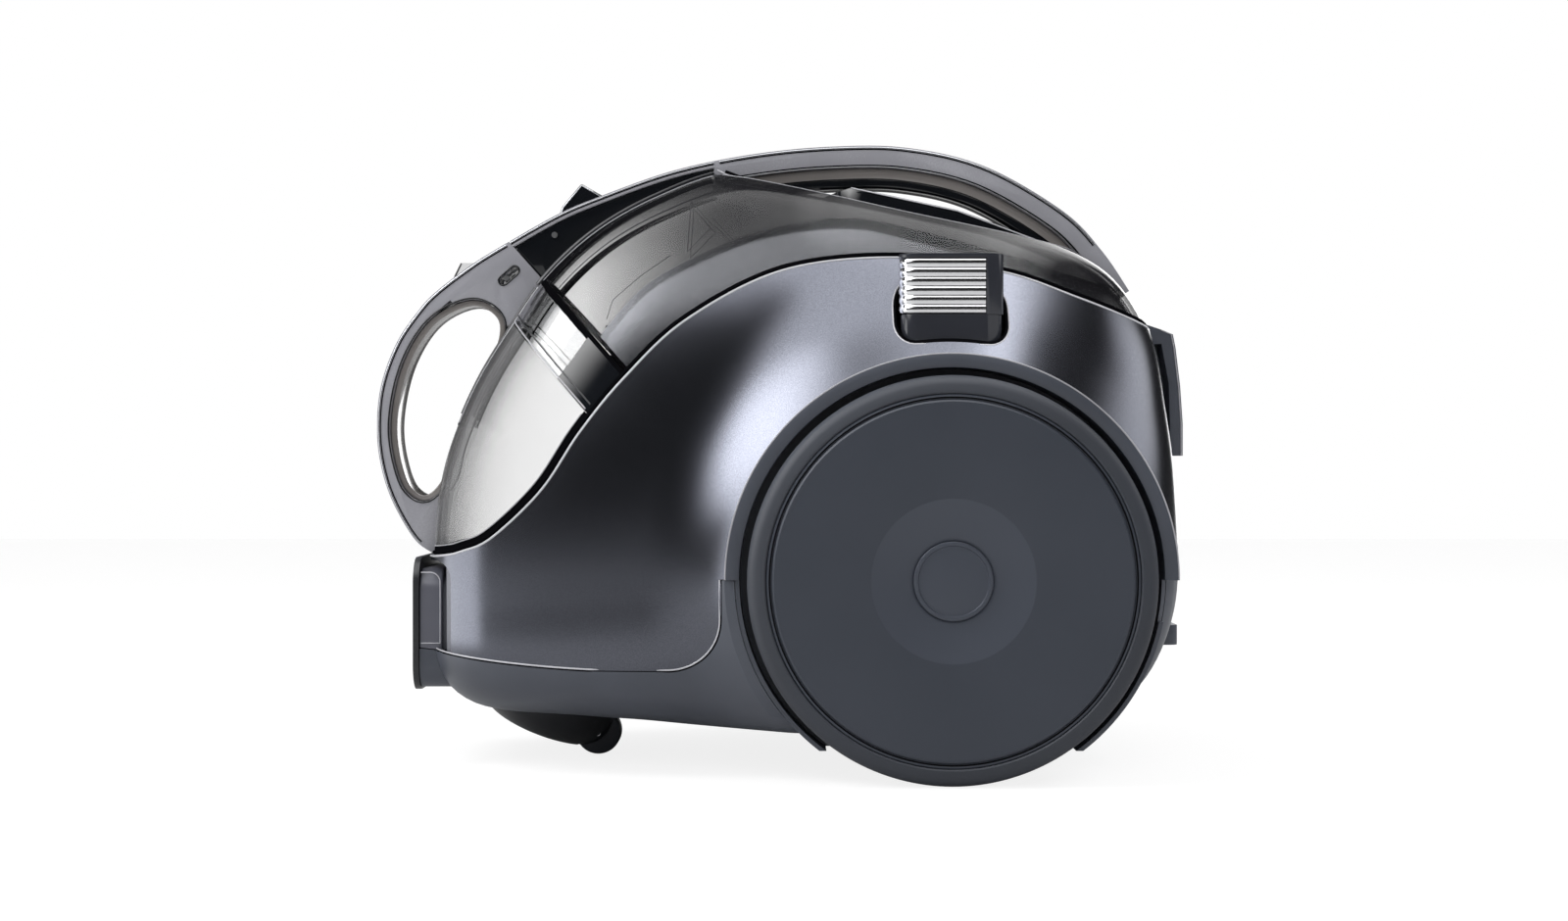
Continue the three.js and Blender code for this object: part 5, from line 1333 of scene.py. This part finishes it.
# ---------------------------------------------------------------- nose, caster and tail
def nose_pieces():
    outline = rounded(-nose_half_width, nose_half_width, nose_bottom_z, nose_top_z, nose_corner, 16)
    plate = cut(front_slab(outline, nose_x, nose_x + nose_thickness, "nose_plate_face"), socket_hole())
    dress(soft(plate, 0.9, 4), satin_black, "black_plastic", "nose_plate")
    neck, flange_x = nose_inset + bezel_neck_inset, nose_recess_x - seat - bezel_flange
    bezel = nose_block(nose_inset, bezel_end_x)
    bezel.name = "nose_bezel"
    flange = common(nose_recess(seat), body_form(bezel_flange / 2), block(flange_x, far))
    join(soft(bezel, 0.8, 3), nose_block(neck, flange_x + 1), flange)
    common(bezel, above_sill(slip / 2))
    cut(bezel, nose_block(neck + bezel_wall, nose_recess_x, seat + bezel_wall), socket_hole())
    dress(smooth(bezel), bezel_grey, "gloss_black", "front_bezel")
    front, foot, corner = nose_x + nose_thickness + 1, sill_front_z + 2, (bezel_end_x - 6, bezel_top_z - 8)
    panel = [(front, corner[1] + 5), *arc(corner, 5, 90, 0, 10), (corner[0] + 5, foot), (front, foot)]
    # A pale tube along the bezel panel's edges: painted highlight.
    edge = at_y(panel, -nose_half_width + nose_inset - 0.05)
    bead("bezel_highlight", edge, 0.28, painted_highlight_pale, "gloss_black")
    outer, inner, back = hose_radius + socket_wall, hose_radius, nose_x + socket_length
    lip = socket_flange_radius
    profile = [
        (inner + 1.2, nose_x - 2), (lip - 0.8, nose_x - 2), (lip, nose_x - 1.4), (lip, nose_x - seat),
        (outer, nose_x - seat), (outer, back), (inner, back), (inner, nose_x), (inner + 0.4, nose_x - 1.2)]
    ring = turned(profile, "X", (0, 0, inlet_z), 128, "hose_socket_ring")
    dress(smooth(ring, 35), satin_black, "black_plastic", "hose_socket")


def caster_pieces():
    depth = caster_top_z - caster_bottom_z
    shares = 1 - np.linspace(0, 1, 30) ** 1.6
    profile = [(caster_radius * (1 - t**1.5) ** 0.55, caster_top_z - depth * t) for t in shares]
    dome = turned([*profile, (0, caster_top_z)], "Z", (caster_x, 0, 0), 128, "caster_dome")
    for corner in dome.data.vertices:
        share = max(0.0, (caster_top_z - corner.co.z / MM) / depth)
        corner.co.x += caster_lean * MM * share**1.6
    wheel_x, half, r = caster_x + caster_trail, caster_wheel_half, caster_wheel_radius
    room = half + 0.8
    slot = turned(rod(r + 1.4, -room, room), "Y", (wheel_x, 0, r))
    cut(dome, slot, block(wheel_x - 2, far, room, 0, r))
    foot, top, snap_foot = caster_top_z - 2, caster_stem_top_z, caster_snap_bottom_z
    thin, wide = caster_stem_radius, caster_snap_radius
    stem = [(0, foot), (thin, foot), (thin, snap_foot), (wide, snap_foot), (wide, top - 2), (thin, top - 2),
            (thin, top), (0, top)]
    join(dome, turned(stem, "Z", (caster_x, 0, 0), 64))
    dress(soft(dome, 0.4, 2, 50, 35), satin_black, "chassis_plastic", "caster_swivel", body="caster")
    tyre = [(2.1, -half), (r - 2, -half), (r - 0.8, -half + 0.6), (r, -half + 2.5), (r, half - 2.5),
            (r - 0.8, half - 0.6), (r - 2, half), (2.1, half)]
    roller = turned(tyre, "Y", (wheel_x, 0, r), 96, "caster_roller")
    dress(smooth(roller, 35), tyre_grey, "tyre_rubber", "caster_wheel", body="caster_roller")


def tail_pieces():
    outline = [(park_front_x, 206), (178, park_top_z), (185, park_top_z), (195.1, 219.2), (200.4, 217),
               (201.8, 210), (204.1, 190.6), (park_back_x, 171.6), (park_back_x, park_bottom_z),
               (park_front_x, park_bottom_z)]
    opening = [(park_front_x - 4, park_bottom_z - 5), (park_front_x - 4, 205), (186, park_slot_top_z),
               (194.5, park_slot_top_z), (198.2, 192), (199.4, park_bottom_z - 5)]
    flap = side_slab(outline, park_half_width, "parking_flap")
    for side in (-1, 1):
        cut(flap, side_slab(opening, sorted((side * (park_slot_half + park_rib), side * far))))
    cut(flap, housing_skin())
    join(flap, block(park_deep_x - park_lining, park_back_x - 3, park_slot_half + park_lining, park_bottom_z,
                     park_slot_top_z + park_lining))
    cut(flap, block(park_deep_x, park_back_x - 3, park_slot_half, park_bottom_z - 5, park_slot_top_z),
        block(park_deep_x + 4, far, 4.5, 0, park_slot_top_z - 7), cover_block(cover_inset - seat))
    dress(soft(flap, 1.2, 4), slate, "chassis_plastic", "parking_bracket")
    # A grey tube along the flap's edges: painted highlight.
    edge = [(x - 0.9, -park_half_width - 0.05, z) for x, z in outline[3:9]]
    bead("parking_highlight", edge, 0.35, painted_highlight_grey, "chassis_plastic")
    plan = rounded(rear_foot_start_x, rear_foot_end_x, -rear_foot_half_width, rear_foot_half_width,
                   rear_foot_corner)
    bar = cut(plan_slab(plan, rear_foot_bottom_z, rear_foot_top_z, "rear_foot_bar"), body_form(-seat))
    dress(soft(bar, 1.5, 4), slate, "chassis_plastic", "rear_foot")


# ---------------------------------------------------------------- pieces kept from the CAD
def kept_pieces():
    for material, nodes in [
            (satin_black, "filter_deck bin_cradle exhaust_grille motor_shell"),
            (seal_black, "bin_gasket socket_seal motor_mount_front motor_mount_rear"),
            (clear, "bin_tab impeller"),
            (steel, "bin_pin release_pin caster_axle axle_right axle_left motor_core reel_shaft"),
            (steel, "pedal_spring_right pedal_spring_left"),
            (slate, "inlet_duct reel_drum"),
            (fleece, "motor_filter exhaust_filter"),
            (board_green, "control_board")]:
        for node in nodes.split():
            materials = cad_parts[node].data.materials
            materials.clear()
            materials.append(material)


# ---------------------------------------------------------------- studio
def studio_world():
    world = bpy.data.worlds.new("studio")
    bpy.context.scene.world = world
    world.use_nodes = True
    world.node_tree.nodes.clear()
    studio = Nodes(world.node_tree)
    way = studio.add("ShaderNodeTexCoord", output="Generated")
    x, y, z = (studio.add("ShaderNodeSeparateXYZ", None, {0: way}, output=axis) for axis in "XYZ")

    def softbox(towards, edge, width):
        """Near 1 where a ray points within the softbox, whose half angle has that cosine."""
        u, v, w = Vector(towards).normalized()
        return (x * u + y * v + z * w).step(edge, width)

    lean = y.math("ARCTAN2", y, z)
    ceiling = 3.2 * lean.step(-0.88, 0.2) * (1 - (lean - 0.2 * x).step(0.40, 0.05)) * z.step(0.3, 0.15)
    ceiling = ceiling * (1 - 0.5 * softbox((-0.42, -0.05, 0.9), 0.96, 0.06))
    ceiling = (ceiling + 4.0 * x.step(0.2, 0.12) * lean.step(-0.3, 0.3)) * (1 - x.step(0.36, 0.08))
    sky = 0.02 + 0.1 * (1 - z.step(0.0, 0.3)) + ceiling
    sky = sky + 5.5 * softbox((-0.74, -0.3, 0.62), 0.935, 0.1)
    sky = sky + 2.6 * softbox((0.84, 0.28, 0.47), 0.965, 0.06)
    glossy, diffuse = (studio.add("ShaderNodeLightPath", output=f"{kind} Depth")
                       for kind in ("Glossy", "Diffuse"))
    straight = 1 - glossy.math("MAXIMUM", glossy, diffuse).step(0.5, 0.5)
    shiny = glossy.step(0.5, 0.5) * (1 - diffuse.step(0.5, 0.5))
    strength = straight + shiny * sky + (1 - straight) * (1 - shiny) * 0.45
    light = studio.add("ShaderNodeBackground", None, {"Color": (1, 1, 1), "Strength": strength})
    studio.add("ShaderNodeOutputWorld", None, {0: light})


def studio_lights():
    """Softboxes that light the scene, and a card that only shows in reflections."""
    middle = Vector((0, 0, 0.16))
    for name, place, target, size, power in [
            ("left_softbox", (-1.21, -0.26, 1.21), middle, (0.6, 0.8), 14),
            ("right_softbox", (1.3, 0.1, 1.45), middle, (0.6, 0.8), 9),
            ("camera_fill", (0.1, -2.2, 1.2), middle, (1.4, 1.0), 12),
            ("front_card", (-0.62, -0.03, 0.16), Vector((0, -0.03, 0.16)), (0.4, 0.4), 1.4)]:
        lamp = bpy.data.lights.new(name, "AREA")
        lamp.shape = "RECTANGLE"
        lamp.size, lamp.size_y = size
        lamp.energy = power
        thing = bpy.data.objects.new(name, lamp)
        bpy.context.scene.collection.objects.link(thing)
        thing.location = place
        thing.rotation_euler = (target - Vector(place)).to_track_quat("-Z", "Y").to_euler()
        thing.visible_glossy = name == "front_card"
        thing.visible_diffuse = name != "front_card"
        thing.visible_camera = False


def studio_floor():
    corners = [(-3000, -2500, 0), (3000, -2500, 0), (3000, 3500, 0), (-3000, 3500, 0)]
    floor = mesh_object("studio_floor", corners, [(0, 1, 2, 3)])
    finish = Finish("studio_floor_paper", roughness=0.9, specular=0.1)
    finish.feed("Base Color", finish.blend(finish.noise(0.3, 2), (0.80, 0.80, 0.80), (0.82, 0.82, 0.82)))
    shown, through = (finish.add("ShaderNodeLightPath", output=f"Is {kind} Ray")
                      for kind in ("Camera", "Transmission"))
    white = finish.add("ShaderNodeEmission", None, {"Strength": 1.2})
    share = shown.math("MAXIMUM", shown, through) * 0.7
    paper = Value(finish, finish.shader.outputs[0])
    mixed = finish.add("ShaderNodeMixShader", None, {0: share, 1: paper, 2: white})
    finish.connect(finish.tree.nodes["Material Output"].inputs[0], mixed)
    floor.data.materials.append(finish.material)


def studio_camera():
    camera = bpy.data.cameras.new("camera")
    thing = bpy.data.objects.new("camera", camera)
    bpy.context.scene.collection.objects.link(thing)
    camera.lens, camera.sensor_width = 56.5, 36
    camera.clip_end = 50
    thing.location = ((2.05 + frame_shift) * MM, -1.285, 0.1526)
    thing.rotation_euler = (math.pi / 2, 0, 0)
    bpy.context.scene.camera = thing


# ---------------------------------------------------------------- the whole
bpy.context.scene.view_settings.view_transform = "Standard"
studio_camera()
studio_world()
studio_lights()
studio_floor()
kept_pieces()
chassis_shell()
housing_shell()
housing_lines()
recess_tray()
recess_highlights()
inner_ribs()
cover_shell()
cover_trims()
inner_shroud()
bin_shell()
bin_collar()
bin_ridge()
bin_handle()
bin_grip_pad()
carry_band_piece()
carry_grip_piece()
handle_lines()
band_front()
latch_housing()
release_button()
for side, end in ((-1, "left"), (1, "right")):
    wheel_set(side, end)
    arch(side, end)
    pedal_set(side, end)
nose_pieces()
caster_pieces()
tail_pieces()
